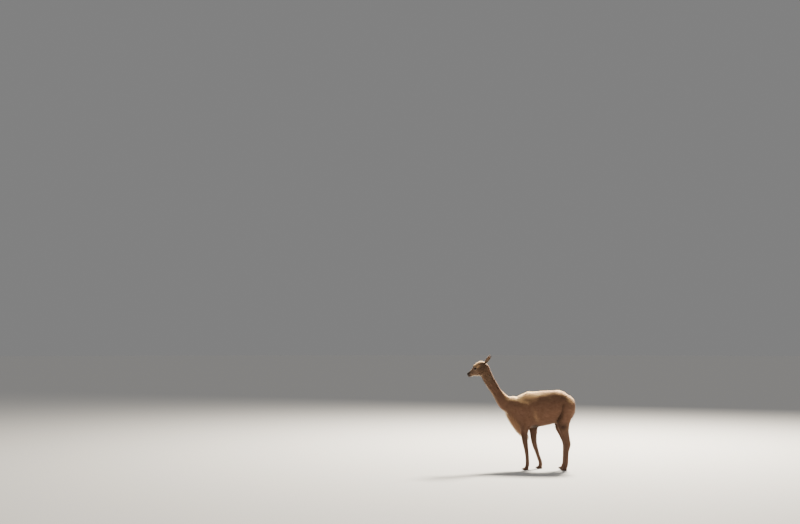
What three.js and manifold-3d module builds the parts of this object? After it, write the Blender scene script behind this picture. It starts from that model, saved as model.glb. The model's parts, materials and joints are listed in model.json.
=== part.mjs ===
// A standing vicuna, life size, as a still model. Millimetres, +Z up, floor at Z 0.
// The head points to -X and the tail to +X; the animal's left side is the -Y side.
import * as THREE from "three";
import { mergeVertices } from "three/addons/utils/BufferGeometryUtils.js";
import Module from "manifold-3d";

const wasm = await Module();
wasm.setup();

// Driving dimensions
const WITHERS_HEIGHT = 800;
const BARREL_WIDTH = 286;
const HEAD_LENGTH = 222;
const EAR_LENGTH = 118;
const EYE_RADIUS = 18;
const FOOT_LENGTH = 68;
const TRACK = 156; // between the middles of a left and a right foot
const GAP = 0.3; // between nodes that touch
const CLEAR = 0.6; // between a lock and a form of another node that it passes

// Facets of the forms: rings along them and points round them
const FACETS = {
  trunk: [15, 15], neck: [13, 15], head: [24, 18], leg: [15, 10], tail: [9, 10], nail: [4, 6],
};
// Facets of the balls and rings: points round them and from pole to pole
const ROUND = { toe: [8, 6], small: [8, 6], eye: [12, 8], lid: [16, 6] };

// Colours of the coat, skin and horn
const COLOURS = {
  wool: { color: 0xb98552, roughness: 0.95 },
  pale: { color: 0xe6d6bc, roughness: 0.95 },
  face: { color: 0x9c6f47, roughness: 0.9 },
  eye: { color: 0x140d09, roughness: 0.08 },
  nail: { color: 0x3a3029, roughness: 0.5 },
};

const SIDES = { left: -1, right: 1 };
const v3 = (x, y, z) => new THREE.Vector3(x, y, z);
const Y_AXIS = v3(0, 1, 0);

// A closed geometry as a solid that can be joined and cut
function solidOf(geometry) {
  const bare = new THREE.BufferGeometry()
    .setAttribute("position", geometry.getAttribute("position"))
    .setIndex(geometry.index);
  const merged = mergeVertices(bare, 1e-4);
  const vertProperties = new Float32Array(merged.attributes.position.array);
  const triVerts = new Uint32Array(merged.index.array);
  const made = () => new wasm.Manifold(new wasm.Mesh({ numProp: 3, vertProperties, triVerts }));
  const solid = made();
  if (solid.volume() > 0) return solid;
  triVerts.reverse();
  return made();
}

// Joins neighbours in pairs, which is quicker than one after another
function join(solids) {
  if (solids.length === 1) return solids[0];
  const half = Math.ceil(solids.length / 2);
  return join(solids.slice(0, half)).add(join(solids.slice(half)));
}

// A closed skin through rings of equally many points, each end closed by a strip across its ring
function skinThrough(rings) {
  const n = rings[0].length;
  const index = [];
  const quad = (a, b, c, d) => index.push(a, b, c, a, c, d);
  for (let i = 0; i + 1 < rings.length; i++)
    for (let j = 0; j < n; j++) {
      const k = (j + 1) % n;
      quad(i * n + j, i * n + k, (i + 1) * n + k, (i + 1) * n + j);
    }
  const last = (rings.length - 1) * n;
  for (let j = 0; j + 1 < n / 2; j++) {
    quad(j, n - 1 - j, n - 2 - j, j + 1);
    quad(last + j, last + j + 1, last + n - 2 - j, last + n - 1 - j);
  }
  const geometry = new THREE.BufferGeometry().setFromPoints(rings.flat());
  geometry.setIndex(index);
  return solidOf(geometry);
}

// The largest closed surface of a solid: loose scraps and sealed hollows are dropped
function largest(solid) {
  const pieces = solid.decompose();
  return pieces.reduce((best, p) => (p.volume() > best.volume() ? p : best));
}

function meshOf(name, solid, colour) {
  const data = largest(solid).getMesh();
  const geometry = new THREE.BufferGeometry()
    .setAttribute("position", new THREE.BufferAttribute(data.vertProperties, 3))
    .setIndex(new THREE.BufferAttribute(data.triVerts, 1));
  geometry.computeVertexNormals();
  const material = new THREE.MeshStandardMaterial({ metalness: 0, ...COLOURS[colour] });
  const mesh = new THREE.Mesh(geometry, material);
  mesh.name = name;
  return mesh;
}

// A body form swept along a curved middle line. Each station is [x, y, z, near, far, half]: the reach
// to the near side (up on the trunk, back on a leg, throat on the neck), to the far side, and half the width.
// A bump swells the skin near its place: { at, radius, height }. Lower widens the far side of each section,
// and inset(t, angle) lays the skin that much deeper under the wool.
class Form {
  constructor(stations, { bumps = [], lower = 0, inset = () => 0 } = {}) {
    this.bumps = bumps;
    this.lower = lower;
    this.inset = inset;
    this.line = new THREE.CatmullRomCurve3(
      stations.map(([x, y, z]) => v3(x, y, z)), false, "catmullrom", 0.5,
    );
    this.reach = new THREE.CatmullRomCurve3(
      stations.map(([, , , near, far, half]) => v3(near, far, half)), false, "catmullrom", 0.5,
    );
  }

  // The surface point at t along the form and at an angle round it, where 0 is the near side and
  // a quarter turn is the +Y side
  point(t, angle, grow = 0) {
    const middle = this.line.getPoint(t);
    const reach = this.reach.getPoint(t);
    const along = this.line.getTangent(t);
    const near = along.clone().cross(Y_AXIS).normalize();
    const side = near.clone().cross(along).normalize();
    const up = Math.cos(angle);
    const depth = (up > 0 ? reach.x : reach.y) + grow;
    const width = (reach.z + grow) * (1 - this.lower * up);
    const point = middle.clone()
      .addScaledVector(near, up * depth)
      .addScaledVector(side, Math.sin(angle) * width);
    const outward = point.clone().sub(middle).normalize();
    const swell = this.bumps.reduce(
      (sum, { at, radius, height }) => sum + height * Math.exp(-at.distanceToSquared(point) / radius ** 2), 0,
    );
    return point.addScaledVector(outward, swell);
  }

  skin(t, angle, grow = 0) {
    return this.point(t, angle, grow - this.inset(t, angle));
  }

  // How many millimetres one unit of t and one radian span at a place
  scale(t, angle) {
    const step = 0.01;
    const t0 = Math.max(t - step, 0);
    const t1 = Math.min(t + step, 1);
    return {
      along: this.point(t1, angle).distanceTo(this.point(t0, angle)) / (t1 - t0),
      round: this.point(t, angle + step).distanceTo(this.point(t, angle - step)) / (2 * step),
    };
  }

  solid(rows, columns, grow = 0) {
    const rings = [];
    for (let i = 0; i <= rows; i++) {
      const ring = [];
      for (let j = 0; j < columns; j++)
        ring.push(this.skin(i / rows, (2 * Math.PI * j) / columns, grow));
      rings.push(ring);
    }
    return skinThrough(rings);
  }
}

// Seeded draws, so that each build is the same
function draws(seed) {
  let state = seed;
  return (low, high) => {
    state = (state * 1664525 + 1013904223) % 4294967296;
    return low + ((high - low) * state) / 4294967296;
  };
}

// Wool and long hair

// A clump of wool: a rounded swelling that lies along the coat and follows the form under it. The outline
// is given as shares of its length, width and height, from the root to the tip.
const CLUMP_RINGS = [
  [-0.5, 0.55, 0.1],
  [-0.2, 0.96, 0.8],
  [0.18, 1, 1],
  [0.5, 0.52, 0.42],
];
const CLUMP_RING = [[0, -1], [-1, -0.35], [-0.6, 0.66], [0, 1], [0.6, 0.66], [1, -0.35]];

function clump(form, t, angle, { length, width, height, lie, sink }) {
  const { along, round } = form.scale(t, angle);
  const way = Math.sin(angle) < 0 ? -1 : 1;
  const base = form.inset(t, angle);
  const rings = CLUMP_RINGS.map(([s, w, h]) =>
    CLUMP_RING.map(([x, y]) => {
      const forward = s * length;
      const sideways = (x * w * width) / 2;
      const dt = (forward * Math.cos(lie) - sideways * Math.sin(lie)) / along;
      const da = (way * (forward * Math.sin(lie) + sideways * Math.cos(lie))) / round;
      const grow = y < 0 ? y * sink : y * h * height;
      return form.point(THREE.MathUtils.clamp(t + dt, 0, 1), angle + da, grow - base);
    }),
  );
  return skinThrough(rings);
}

// A flat lock that tapers to its tip and bends along a curve of three points; flat is its face's direction
const LOCK_RINGS = [
  [0, 0.62, 1],
  [0.32, 1, 0.9],
  [0.68, 0.74, 0.62],
  [1, 0.12, 0.2],
];

function lock(points, flat, width, thick) {
  const curve = new THREE.QuadraticBezierCurve3(...points);
  const rings = LOCK_RINGS.map(([u, w, h]) => {
    const at = curve.getPoint(u);
    const along = curve.getTangent(u);
    const across = along.clone().cross(flat).normalize();
    const face = across.clone().cross(along).normalize();
    return CLUMP_RING.map(([x, y]) =>
      at.clone()
        .addScaledVector(across, (x * w * width) / 2)
        .addScaledVector(face, (y * h * thick) / 2),
    );
  });
  return skinThrough(rings);
}

// Trunk

// Each row: share of the trunk's length, height of the belly line and of the back line as shares of
// the withers height, and width as a share of the barrel's
const TRUNK_FRONT = -352;
const TRUNK_LENGTH = 712;
const TRUNK_ROWS = [
  [0, 0.7, 0.78, 0.1],
  [0.03, 0.63, 0.86, 0.42],
  [0.08, 0.578, 0.925, 0.64],
  [0.16, 0.552, 0.956, 0.8],
  [0.25, 0.545, 1.012, 0.88],
  [0.31, 0.548, 1.036, 0.91],
  [0.38, 0.552, 1.026, 0.94],
  [0.52, 0.572, 1.04, 0.98],
  [0.66, 0.604, 1.056, 1],
  [0.76, 0.64, 1.054, 0.97],
  [0.86, 0.68, 1.028, 0.88],
  [0.93, 0.73, 1, 0.74],
  [0.98, 0.785, 0.966, 0.52],
  [1, 0.83, 0.926, 0.2],
];

function trunkForm() {
  return new Form(
    TRUNK_ROWS.map(([share, belly, back, width]) => {
      const middle = ((belly + back) / 2) * WITHERS_HEIGHT;
      const reach = ((back - belly) / 2) * WITHERS_HEIGHT;
      return [TRUNK_FRONT + share * TRUNK_LENGTH, 0, middle, reach, reach, (width * BARREL_WIDTH) / 2];
    }),
    { lower: 0.12, inset: (t, angle) => WOOL.depth * woolAmount(angle) },
  );
}

// Wool on a form: how deep the clumps stand on the core, their size and spacing, where they begin and
// end along the form and round it, and how far they turn downwards from the form's own line
const WOOL = {
  depth: 13, length: 130, width: 112, rows: 8, spacing: 101, sink: 9, lie: 0.5, seed: 11,
  from: 0.1, to: 0.95, middle: 0, side: 2.25,
};
const NECK_WOOL = {
  depth: 8, length: 104, width: 80, rows: 3, spacing: 66, sink: 7, lie: 0.12, seed: 23,
  from: 0.4, to: 0.17, middle: Math.PI, side: 2.5,
};
const THIGH_WOOL = {
  depth: 9, length: 140, width: 110, rows: 2, spacing: 104, sink: 8, lie: 0.1, seed: 37,
  from: 0.1, to: 0.25, middle: 1.25, side: 1.2,
};

const WOOL_VARIES = 1.12; // the tallest clump over a form's own depth of wool

// 1 on the back and the flanks, 0 under the belly
function woolAmount(angle) {
  const round = Math.abs(Math.atan2(Math.sin(angle), Math.cos(angle)));
  return 1 - THREE.MathUtils.smoothstep(round, WOOL.side, WOOL.side + 0.45);
}

function woolOn(form, wool, side = 1, amount = () => 1) {
  const draw = draws(wool.seed + side);
  const clumps = [];
  for (let row = 0; row < wool.rows; row++) {
    const t = THREE.MathUtils.lerp(wool.from, wool.to, row / (wool.rows - 1));
    const { round } = form.scale(t, Math.PI / 2);
    const count = Math.max(3, Math.round((2 * wool.side * round) / wool.spacing));
    for (let i = 0; i < count; i++) {
      const stagger = (row % 2) * 0.5;
      const offset = wool.side * ((2 * (i + stagger)) / count - 1) + draw(-0.05, 0.05);
      const angle = side * (wool.middle + offset);
      const down = Math.min(1, Math.abs(Math.sin(angle)) * 1.6);
      clumps.push(clump(form, t + draw(-0.012, 0.012), angle, {
        length: wool.length * draw(0.85, 1.1),
        width: wool.width * draw(0.88, 1.1),
        height: wool.depth * draw(0.85, WOOL_VARIES) * (0.35 + 0.65 * amount(angle)),
        lie: wool.lie * down + draw(-0.14, 0.14),
        sink: wool.sink,
      }));
    }
  }
  return join(clumps);
}

// Neck: from inside the trunk to inside the head
const NECK_STATIONS = [
  [-235, 0, 640, 130, 120, 108],
  [-322, 0, 664, 112, 96, 92],
  [-392, 0, 714, 74, 72, 70],
  [-457, 0, 798, 60, 61, 55],
  [-526, 0, 908, 58, 61, 50],
  [-577, 0, 1006, 62, 63, 49],
  [-600, 0, 1064, 59, 58, 47],
];

// Legs: each row is [x, how far inside the foot's line, z, reach to the back, to the front, half the width]
const HALF_TRACK = TRACK / 2;
const FORELEG_ROWS = {
  left: [
    [-186, 14, 640, 60, 60, 40],
    [-176, 8, 565, 74, 70, 42],
    [-172, 4, 500, 72, 62, 38],
    [-178, 2, 442, 58, 47, 32],
    [-179, 1, 380, 44, 39, 27],
    [-171, 1, 320, 33, 31, 24],
    [-162, 1, 268, 29, 29, 25],
    [-154, 1, 215, 24, 24, 19],
    [-146, 0, 150, 21, 21, 17],
    [-144, 0, 96, 21, 20, 17],
    [-144, 0, 62, 22, 20, 19],
    [-149, 0, 36, 22, 22, 19],
    [-155, 0, 20, 24, 26, 20],
  ],
  right: [
    [-136, 14, 640, 60, 60, 40],
    [-116, 8, 565, 74, 70, 42],
    [-98, 4, 500, 70, 62, 38],
    [-84, 2, 442, 56, 47, 32],
    [-74, 1, 380, 41, 42, 27],
    [-71, 1, 320, 31, 35, 24],
    [-65, 1, 268, 28, 32, 25],
    [-50, 1, 215, 23, 26, 19],
    [-30, 0, 150, 20, 22, 16],
    [-13, 0, 96, 19, 21, 16],
    [-3, 0, 62, 21, 20, 19],
    [-5, 0, 36, 21, 22, 19],
    [-9, 0, 20, 24, 26, 20],
  ],
};
const HINDLEG_ROWS = [
  [232, 22, 750, 70, 60, 44],
  [228, 12, 670, 104, 88, 60],
  [222, 8, 595, 106, 80, 60],
  [220, 6, 520, 86, 76, 48],
  [230, 5, 450, 64, 54, 36],
  [242, 4, 390, 52, 41, 28],
  [255, 3, 335, 44, 33, 24],
  [268, 2, 288, 42, 31, 24],
  [271, 1, 256, 37, 29, 23],
  [267, 1, 222, 28, 24, 19],
  [263, 0, 160, 22, 21, 16],
  [260, 0, 98, 21, 21, 16],
  [257, 0, 64, 23, 21, 19],
  [250, 0, 38, 22, 22, 19],
  [242, 0, 20, 24, 26, 20],
];
const HINDLEG_SHIFT = { left: 7, right: -7 }; // the left hind foot stands a little behind the right one
// The right knee bends further forward: how far, at what height and over what height
const KNEE_FORWARD = { left: 0, right: 24, height: 480, over: 110 };

const onSide = (rows, side, shift = () => 0) =>
  rows.map(([x, inside, z, ...reach]) => [x + shift(z), (HALF_TRACK - inside) * side, z, ...reach]);

const hindlegShift = (name) => (z) =>
  HINDLEG_SHIFT[name] -
  KNEE_FORWARD[name] * Math.exp(-(((z - KNEE_FORWARD.height) / KNEE_FORWARD.over) ** 2));

// Feet
const TOE_SPLAY = 13.5; // from the foot's middle to the toe's
const TOE_HALF_WIDTH = 14;
const TOE_HEIGHT = 27;
const TOE_MIDDLE = 9; // height of the toe's middle over the floor
const TOE_PITCH = 0.08; // the toe slopes down to its tip
const TOE_TURN = 0.06; // the two toes of a foot point apart
const FOOT_BACK = 8; // the toes' middle lies this much in front of the leg's end

function ball(x, y, z, rx, ry, rz, turn, facets) {
  const geometry = new THREE.SphereGeometry(1, ...facets);
  geometry.applyMatrix4(
    new THREE.Matrix4().compose(
      v3(x, y, z),
      new THREE.Quaternion().setFromEuler(new THREE.Euler(...turn)),
      v3(rx, ry, rz),
    ),
  );
  return solidOf(geometry);
}

// Two soft toes, flat where they stand
function toes(x, y) {
  const half = [FOOT_LENGTH / 2, TOE_HALF_WIDTH, TOE_HEIGHT - TOE_MIDDLE];
  return join([-1, 1].map((way) => {
    const turn = [0, TOE_PITCH, -way * TOE_TURN];
    return ball(x, y + way * TOE_SPLAY, TOE_MIDDLE, ...half, turn, ROUND.toe);
  }));
}

// The nail on the front of a toe: a small curved wedge
function nail(x, y, way, grow = 0) {
  const front = x - FOOT_LENGTH / 2;
  const form = new Form([
    [front + 13, y + way * TOE_SPLAY, 17, 6 + grow, 6 + grow, 6 + grow],
    [front + 3, y + way * (TOE_SPLAY + 0.4), 13.5, 5 + grow, 5.5 + grow, 5.4 + grow],
    [front - 4, y + way * (TOE_SPLAY + 0.8), 8.5, 3 + grow, 3.4 + grow, 3.4 + grow],
    [front - 7 - grow, y + way * (TOE_SPLAY + 1), 5, 1 + grow, 1 + grow, 1.2 + grow],
  ]);
  return form.solid(...FACETS.nail);
}

// Blocks that cut

const SPACE = 3000; // larger than the animal

// The half space on one side of a plane that crosses the middle plane of the body, as a large block.
// The plane runs through two points of the side view, and the block lies to the left of the way from a to b.
function beyond(a, b, offset) {
  const angle = Math.atan2(b[1] - a[1], b[0] - a[0]);
  const geometry = new THREE.BoxGeometry(SPACE, SPACE, SPACE);
  geometry.translate(0, 0, SPACE / 2 + offset);
  geometry.rotateY(-angle);
  geometry.translate(a[0], 0, a[1]);
  return solidOf(geometry);
}

const floor = () => beyond([1, 0], [-1, 0], 0);

// A block with the outline of a side view, from y0 to y1
function block(outline, y0, y1) {
  const shape = new THREE.Shape(outline.map(([x, z]) => new THREE.Vector2(x, z)));
  const geometry = new THREE.ExtrudeGeometry(shape, { depth: y1 - y0, bevelEnabled: false });
  geometry.rotateX(Math.PI / 2);
  geometry.translate(0, y1, 0);
  return solidOf(geometry);
}

// Head

// The head's own frame: s runs from the back of the skull to the nose, h is up from that line
const HEAD_ORIGIN = v3(-570, 0, 1075);
const HEAD_PITCH = THREE.MathUtils.degToRad(20);
const HEAD_ALONG = v3(-Math.cos(HEAD_PITCH), 0, -Math.sin(HEAD_PITCH));
const HEAD_UP = v3(-Math.sin(HEAD_PITCH), 0, Math.cos(HEAD_PITCH));
const atHead = (s, y, h) =>
  HEAD_ORIGIN.clone().addScaledVector(HEAD_ALONG, s).addScaledVector(HEAD_UP, h).setY(y);

// Each row: share of the head's length, line of the brow and of the jaw, half the width
const HEAD_ROWS = [
  [-0.1, 50, 5, 16],
  [-0.06, 72, -24, 38],
  [0.04, 87, -50, 50],
  [0.16, 93, -64, 56],
  [0.28, 95, -68, 59],
  [0.4, 92, -62, 59],
  [0.49, 82, -55, 54],
  [0.58, 66, -47, 44],
  [0.68, 51, -37, 34],
  [0.78, 39, -29, 28],
  [0.88, 30, -26, 25],
  [0.95, 23, -27, 23],
  [0.985, 16, -24, 18],
  [1.003, 8, -18, 12],
  [1.01, 1, -10, 5],
];
const HEAD_NARROWING = -0.07; // of the lower half of the face

// The middle of the left eye's ball, and the way it looks: along, across and up in the head's frame
const EYE = { s: 113, y: 36, h: 35 };
const EYE_LOOK = [0.38, 0.9, 0.14];

// Swellings and hollows of the skull: place along, across and up in the head's frame, radius and height
const HEAD_BUMPS = {
  both: [
    [76, 46, -34, 32, 4], // jaw muscle
    [108, 42, 58, 18, 7], // bone over the eye
    [108, 50, 14, 22, 5], // bone under the eye
    [72, 52, 44, 26, -4], // temple
    [148, 30, 28, 20, -4], // below the inner corner of the eye
    [176, 26, -16, 14, 3], // corner of the mouth
    [206, 15, 0, 15, 6], // upper lip
  ],
  middle: [
    [213, 0, 16, 13, 3], // tip of the nose
    [196, 0, -30, 17, 5], // chin
    [30, 0, 92, 40, 3], // crown
  ],
};

function headForm() {
  return new Form(
    HEAD_ROWS.map(([share, brow, jaw, half]) => {
      const middle = atHead(share * HEAD_LENGTH, 0, (brow + jaw) / 2);
      const reach = (brow - jaw) / 2;
      return [middle.x, 0, middle.z, reach, reach, half];
    }),
    { bumps: headBumps(), lower: HEAD_NARROWING },
  );
}

function headBumps() {
  const bump = (side) => ([s, y, h, radius, height]) => ({ at: atHead(s, side * y, h), radius, height });
  return [...HEAD_BUMPS.middle.map(bump(0)), ...HEAD_BUMPS.both.flatMap((b) => [bump(-1)(b), bump(1)(b)])];
}

// A ball given in the head's frame
function headBall(s, y, h, rs, ry, rh, tilt = 0, yaw = 0) {
  const at = atHead(s, y, h);
  return ball(at.x, at.y, at.z, rs, ry, rh, [0, -tilt - HEAD_PITCH, yaw], ROUND.small);
}

// The lids: an almond ring round the eye, its inner corner lower than its outer one
const LID = { radius: 16.5, thickness: 4, stretch: 1.12, flatten: 0.8, out: 9.5, slant: 0.35 };

const headWay = (s, y, h) => atHead(s, y, h).sub(HEAD_ORIGIN).setY(y).normalize();

function lids(side) {
  const look = headWay(EYE_LOOK[0], side * EYE_LOOK[1], EYE_LOOK[2]);
  const along = headWay(Math.cos(LID.slant), 0, -Math.sin(LID.slant));
  along.addScaledVector(look, -along.dot(look)).normalize();
  const turn = new THREE.Matrix4().makeBasis(along, look.clone().cross(along), look);
  const at = atHead(EYE.s, side * EYE.y, EYE.h).addScaledVector(look, LID.out);
  const geometry = new THREE.TorusGeometry(LID.radius, LID.thickness, ROUND.lid[1], ROUND.lid[0]);
  geometry.scale(LID.stretch, LID.flatten, 1);
  geometry.applyMatrix4(turn.setPosition(at));
  return solidOf(geometry);
}

const eyeBall = (side, grow = 0) => {
  const at = atHead(EYE.s, side * EYE.y, EYE.h);
  const r = EYE_RADIUS + grow;
  return ball(at.x, at.y, at.z, r, r, r, [Math.PI / 2, 0, 0], ROUND.eye);
};

// The line of the mouth, cut a few millimetres deep between the lips
const MOUTH_LINE = [[1.03, -8], [0.93, -9.5], [0.82, -12], [0.73, -12], [0.68, -9]];
const MOUTH_WIDTH = 1.8;
const MOUTH_REACH = 60; // past the face on either side
const LIP_DEPTH = 5;
// Places and half sizes in the head's frame
const NOSTRIL = { s: 213.6, y: 14, h: 8, half: [8, 6, 3], tilt: 0.5, yaw: 0.5 };
const LIP_CLEFT = { s: 221, h: -2, half: [4, 1.6, 9] };

function mouth(form) {
  const line = MOUTH_LINE.map(([share, h]) => atHead(share * HEAD_LENGTH, 0, h));
  const upper = line.map((p) => [p.x, p.z + MOUTH_WIDTH / 2]);
  const lower = line.map((p) => [p.x, p.z - MOUTH_WIDTH / 2]).reverse();
  const slit = block([...upper, ...lower], -MOUTH_REACH, MOUTH_REACH);
  return slit.subtract(form.solid(...FACETS.head, -LIP_DEPTH));
}

function nostril(side) {
  return headBall(NOSTRIL.s, side * NOSTRIL.y, NOSTRIL.h, ...NOSTRIL.half, NOSTRIL.tilt, -side * NOSTRIL.yaw);
}

function head() {
  const form = headForm();
  const lipCleft = headBall(LIP_CLEFT.s, 0, LIP_CLEFT.h, ...LIP_CLEFT.half);
  return join([form.solid(...FACETS.head), lids(-1), lids(1)])
    .subtract(mouth(form))
    .subtract(lipCleft)
    .subtract(join([nostril(-1), nostril(1)]))
    .subtract(join([eyeBall(-1, GAP), eyeBall(1, GAP)]));
}

// Ears: a leaf-shaped cup, open to the front and side
const EAR_ROOT = { s: 6, y: 38, h: 58 };
const EAR_LEAN = { left: v3(80, -44, 80), right: v3(58, 50, 90) };
// Each row: share of the ear's length, half the width, depth of the cup's back
const EAR_ROWS = [
  [-0.12, 10, 9],
  [0.03, 13, 11.5],
  [0.16, 17, 13],
  [0.32, 19.5, 12],
  [0.5, 18, 10],
  [0.68, 14, 8],
  [0.84, 8.5, 5.5],
  [0.95, 4, 3.2],
  [1, 1.6, 1.6],
];
const EAR_SHELL = 3.2;
const EAR_ARC = 6; // points along each arc of a section
const EAR_FACING = [-0.62, 0.55, 0.1]; // the way the cup opens, on the right side

function ear(name) {
  const side = SIDES[name];
  const root = atHead(EAR_ROOT.s, side * EAR_ROOT.y, EAR_ROOT.h);
  const up = EAR_LEAN[name].clone().normalize();
  const facing = v3(EAR_FACING[0], side * EAR_FACING[1], EAR_FACING[2]);
  const front = facing.addScaledVector(up, -facing.dot(up)).normalize();
  const across = up.clone().cross(front).normalize();
  const sections = EAR_ROWS.map(([share, half, depth]) => {
    const middle = root.clone().addScaledVector(up, share * EAR_LENGTH);
    const open = THREE.MathUtils.smoothstep(share, 0.05, 0.2);
    const closed = THREE.MathUtils.smoothstep(share, 0.86, 1);
    const shell = Math.min(EAR_SHELL, half * 0.45);
    const hollow = THREE.MathUtils.lerp(-0.25 * depth, depth - shell, open * (1 - 0.6 * closed));
    const arc = (halfWidth, back) =>
      Array.from({ length: EAR_ARC }, (_, i) => {
        const a = Math.PI * (i / (EAR_ARC - 1) - 0.5);
        return middle
          .clone()
          .addScaledVector(across, halfWidth * Math.sin(a))
          .addScaledVector(front, -back * Math.cos(a));
      });
    const outer = arc(half, depth);
    const inner = arc(half - shell * 0.55, hollow).reverse();
    return [...outer, ...inner];
  });
  return skinThrough(sections);
}

// The part of a solid beyond a short cut across it, and a block that takes it off what it grows from
const EAR_CUT = 0.08; // share of the ear's length
const EAR_CUT_SIZE = 70;

function earRegion(name, offset) {
  const side = SIDES[name];
  const up = EAR_LEAN[name].clone().normalize();
  const height = 2 * EAR_LENGTH;
  const geometry = new THREE.BoxGeometry(EAR_CUT_SIZE, EAR_CUT_SIZE, height);
  geometry.translate(0, 0, height / 2 + offset);
  geometry.applyQuaternion(new THREE.Quaternion().setFromUnitVectors(v3(0, 0, 1), up));
  const at = atHead(EAR_ROOT.s, side * EAR_ROOT.y, EAR_ROOT.h).addScaledVector(up, EAR_CUT * EAR_LENGTH);
  geometry.translate(at.x, at.y, at.z);
  return solidOf(geometry);
}

// Tail: laid close between the thighs
const TAIL_STATIONS = [
  [294, 0, 748, 11, 11, 14],
  [316, 0, 735, 13, 13, 20],
  [338, 0, 702, 15, 15, 25],
  [344, 0, 655, 15, 16, 26],
  [336, 0, 608, 13, 14, 24],
  [323, 0, 566, 11, 11, 18],
  [315, 0, 545, 5, 5, 9],
];

// Locks on the tail: rows down its length, each of two locks side by side
const TAIL_LOCKS = {
  rows: [0.44, 0.64, 0.84], angles: [-0.7, 0.65], reach: 0.36, width: 34, thick: 10, seed: 5,
  sink: 6, rise: 5, length: 260,
};

function tailLocks(form) {
  const draw = draws(TAIL_LOCKS.seed);
  return TAIL_LOCKS.rows.flatMap((t, row) =>
    TAIL_LOCKS.angles.map((angle) => {
      const a = angle * (row === 2 ? 0.6 : 1) + draw(-0.12, 0.12);
      const end = t + TAIL_LOCKS.reach * draw(0.85, 1.1);
      const past = v3(-0.12, 0, -1).multiplyScalar(Math.max(0, end - 1) * TAIL_LOCKS.length);
      const middle = Math.min((t + end) / 2, 1);
      const points = [
        form.point(t, a, -TAIL_LOCKS.sink),
        form.point(middle, a, TAIL_LOCKS.rise),
        form.point(Math.min(end, 1), a * 0.8, 1).add(past),
      ];
      const flat = points[1].clone().sub(form.line.getPoint(middle)).normalize();
      return lock(points, flat, TAIL_LOCKS.width * draw(0.9, 1.1), TAIL_LOCKS.thick);
    }),
  );
}

// The bib: tiers of long pale locks on the breast. Each row: root and tip in the side view, half the
// breadth over which the tier spreads, and the number of its locks.
const BIB_TIERS = [
  [[-376, 600], [-348, 492], 54, 3],
  [[-354, 556], [-312, 436], 62, 4],
  [[-324, 508], [-268, 384], 54, 4],
  [[-290, 474], [-235, 336], 38, 3],
  [[-258, 452], [-214, 300], 24, 3],
];
const BIB = { width: 52, thick: 15, sink: 16, bulge: 19, gather: 0.66, round: 110, seed: 3 };

function bibLocks() {
  const draw = draws(BIB.seed);
  return BIB_TIERS.flatMap(([[rx, rz], [tx, tz], spread, count], tier) =>
    Array.from({ length: count }, (_, i) => {
      const share = (2 * (i + 0.5)) / count - 1 + (tier % 2 ? 0.1 : -0.1);
      const y = spread * share + draw(-3, 3);
      const back = (y * y) / BIB.round;
      const drop = draw(0.9, 1.08);
      const root = v3(rx + back, y, rz - back * 0.3);
      const tip = v3(rx + (tx - rx) * drop + back * 0.5, y * BIB.gather + draw(-4, 4), rz + (tz - rz) * drop);
      const inward = v3(1, -y / 200, 0.5).normalize();
      const middle = root.clone().lerp(tip, 0.5).addScaledVector(inward, -BIB.bulge);
      const flat = v3(-1, y / 90, -0.35).normalize();
      const points = [root.addScaledVector(inward, BIB.sink), middle, tip];
      return lock(points, flat, BIB.width * draw(0.85, 1.12), BIB.thick * draw(0.9, 1.15));
    }),
  );
}

// The parting cuts, each in the side view
const HEAD_CUT = [[-664, 962], [-540, 1104]];
const NECK_CUT = [[-470, 660], [-330, 790]];
const CHEST_OUTLINE = [[-620, 560], [-302, 658], [-238, 560], [-206, 240], [-620, 240]];
const LEG_OUTLINES = {
  foreleg: [[-290, 0], [-262, 410], [-246, 500], [-180, 548], [-84, 548], [-20, 500], [0, 400], [90, 0]],
  hindleg: [[100, -10], [100, 452], [400, 452], [400, -10]],
  thigh: [[212, 780], [196, 700], [168, 600], [128, 520], [120, 380], [400, 380], [400, 700], [300, 790]],
};
const LEG_INSIDE = 26; // from the middle plane to the flat inner face of a leg
const WIDE = 400; // past the body on either side

function grown(outline, by) {
  const middle = outline.reduce((sum, [x, z]) => [sum[0] + x, sum[1] + z], [0, 0]);
  const cx = middle[0] / outline.length;
  const cz = middle[1] / outline.length;
  return outline.map(([x, z]) => {
    const length = Math.hypot(x - cx, z - cz);
    return [x + ((x - cx) / length) * by, z + ((z - cz) / length) * by];
  });
}

// Takes the part inside a side outline off one side of the body, and leaves the rest with a gap
function cutOff(body, outline, side) {
  const inner = (grow) => {
    const edge = LEG_INSIDE - grow;
    return side > 0 ? [edge, WIDE] : [-WIDE, -edge];
  };
  const piece = body.intersect(block(outline, ...inner(0)));
  const rest = body.subtract(block(grown(outline, GAP * 2), ...inner(GAP)));
  return [piece, rest];
}

// All flesh but the tail and the ears as one solid, with the wool on it, and the nails that stand in it
function wholeBody(forms) {
  const { trunk, neck, legs } = forms;
  const wool = [
    woolOn(trunk, WOOL, 1, woolAmount),
    woolOn(neck, NECK_WOOL),
    woolOn(legs.hind.left, THIGH_WOOL, SIDES.left),
    woolOn(legs.hind.right, THIGH_WOOL, SIDES.right),
  ];
  let body = join([trunk.solid(...FACETS.trunk), neck.solid(...FACETS.neck), head(), ...wool]);
  const nails = [];
  for (const [pair, both] of Object.entries(legs))
    for (const [name, form] of Object.entries(both)) {
      const end = form.line.getPoint(1);
      const at = [end.x - FOOT_BACK, end.y];
      for (const way of [-1, 1]) {
        const place = way === SIDES[name] ? "outer" : "inner";
        nails.push({ name: `nail_${pair}_${name}_${place}`, shape: nail(...at, way) });
      }
      const sockets = join([-1, 1].map((way) => nail(...at, way, GAP)));
      body = body.add(join([form.solid(...FACETS.leg), toes(...at)]).subtract(sockets));
    }
  return { body: body.subtract(floor()), nails };
}

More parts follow.
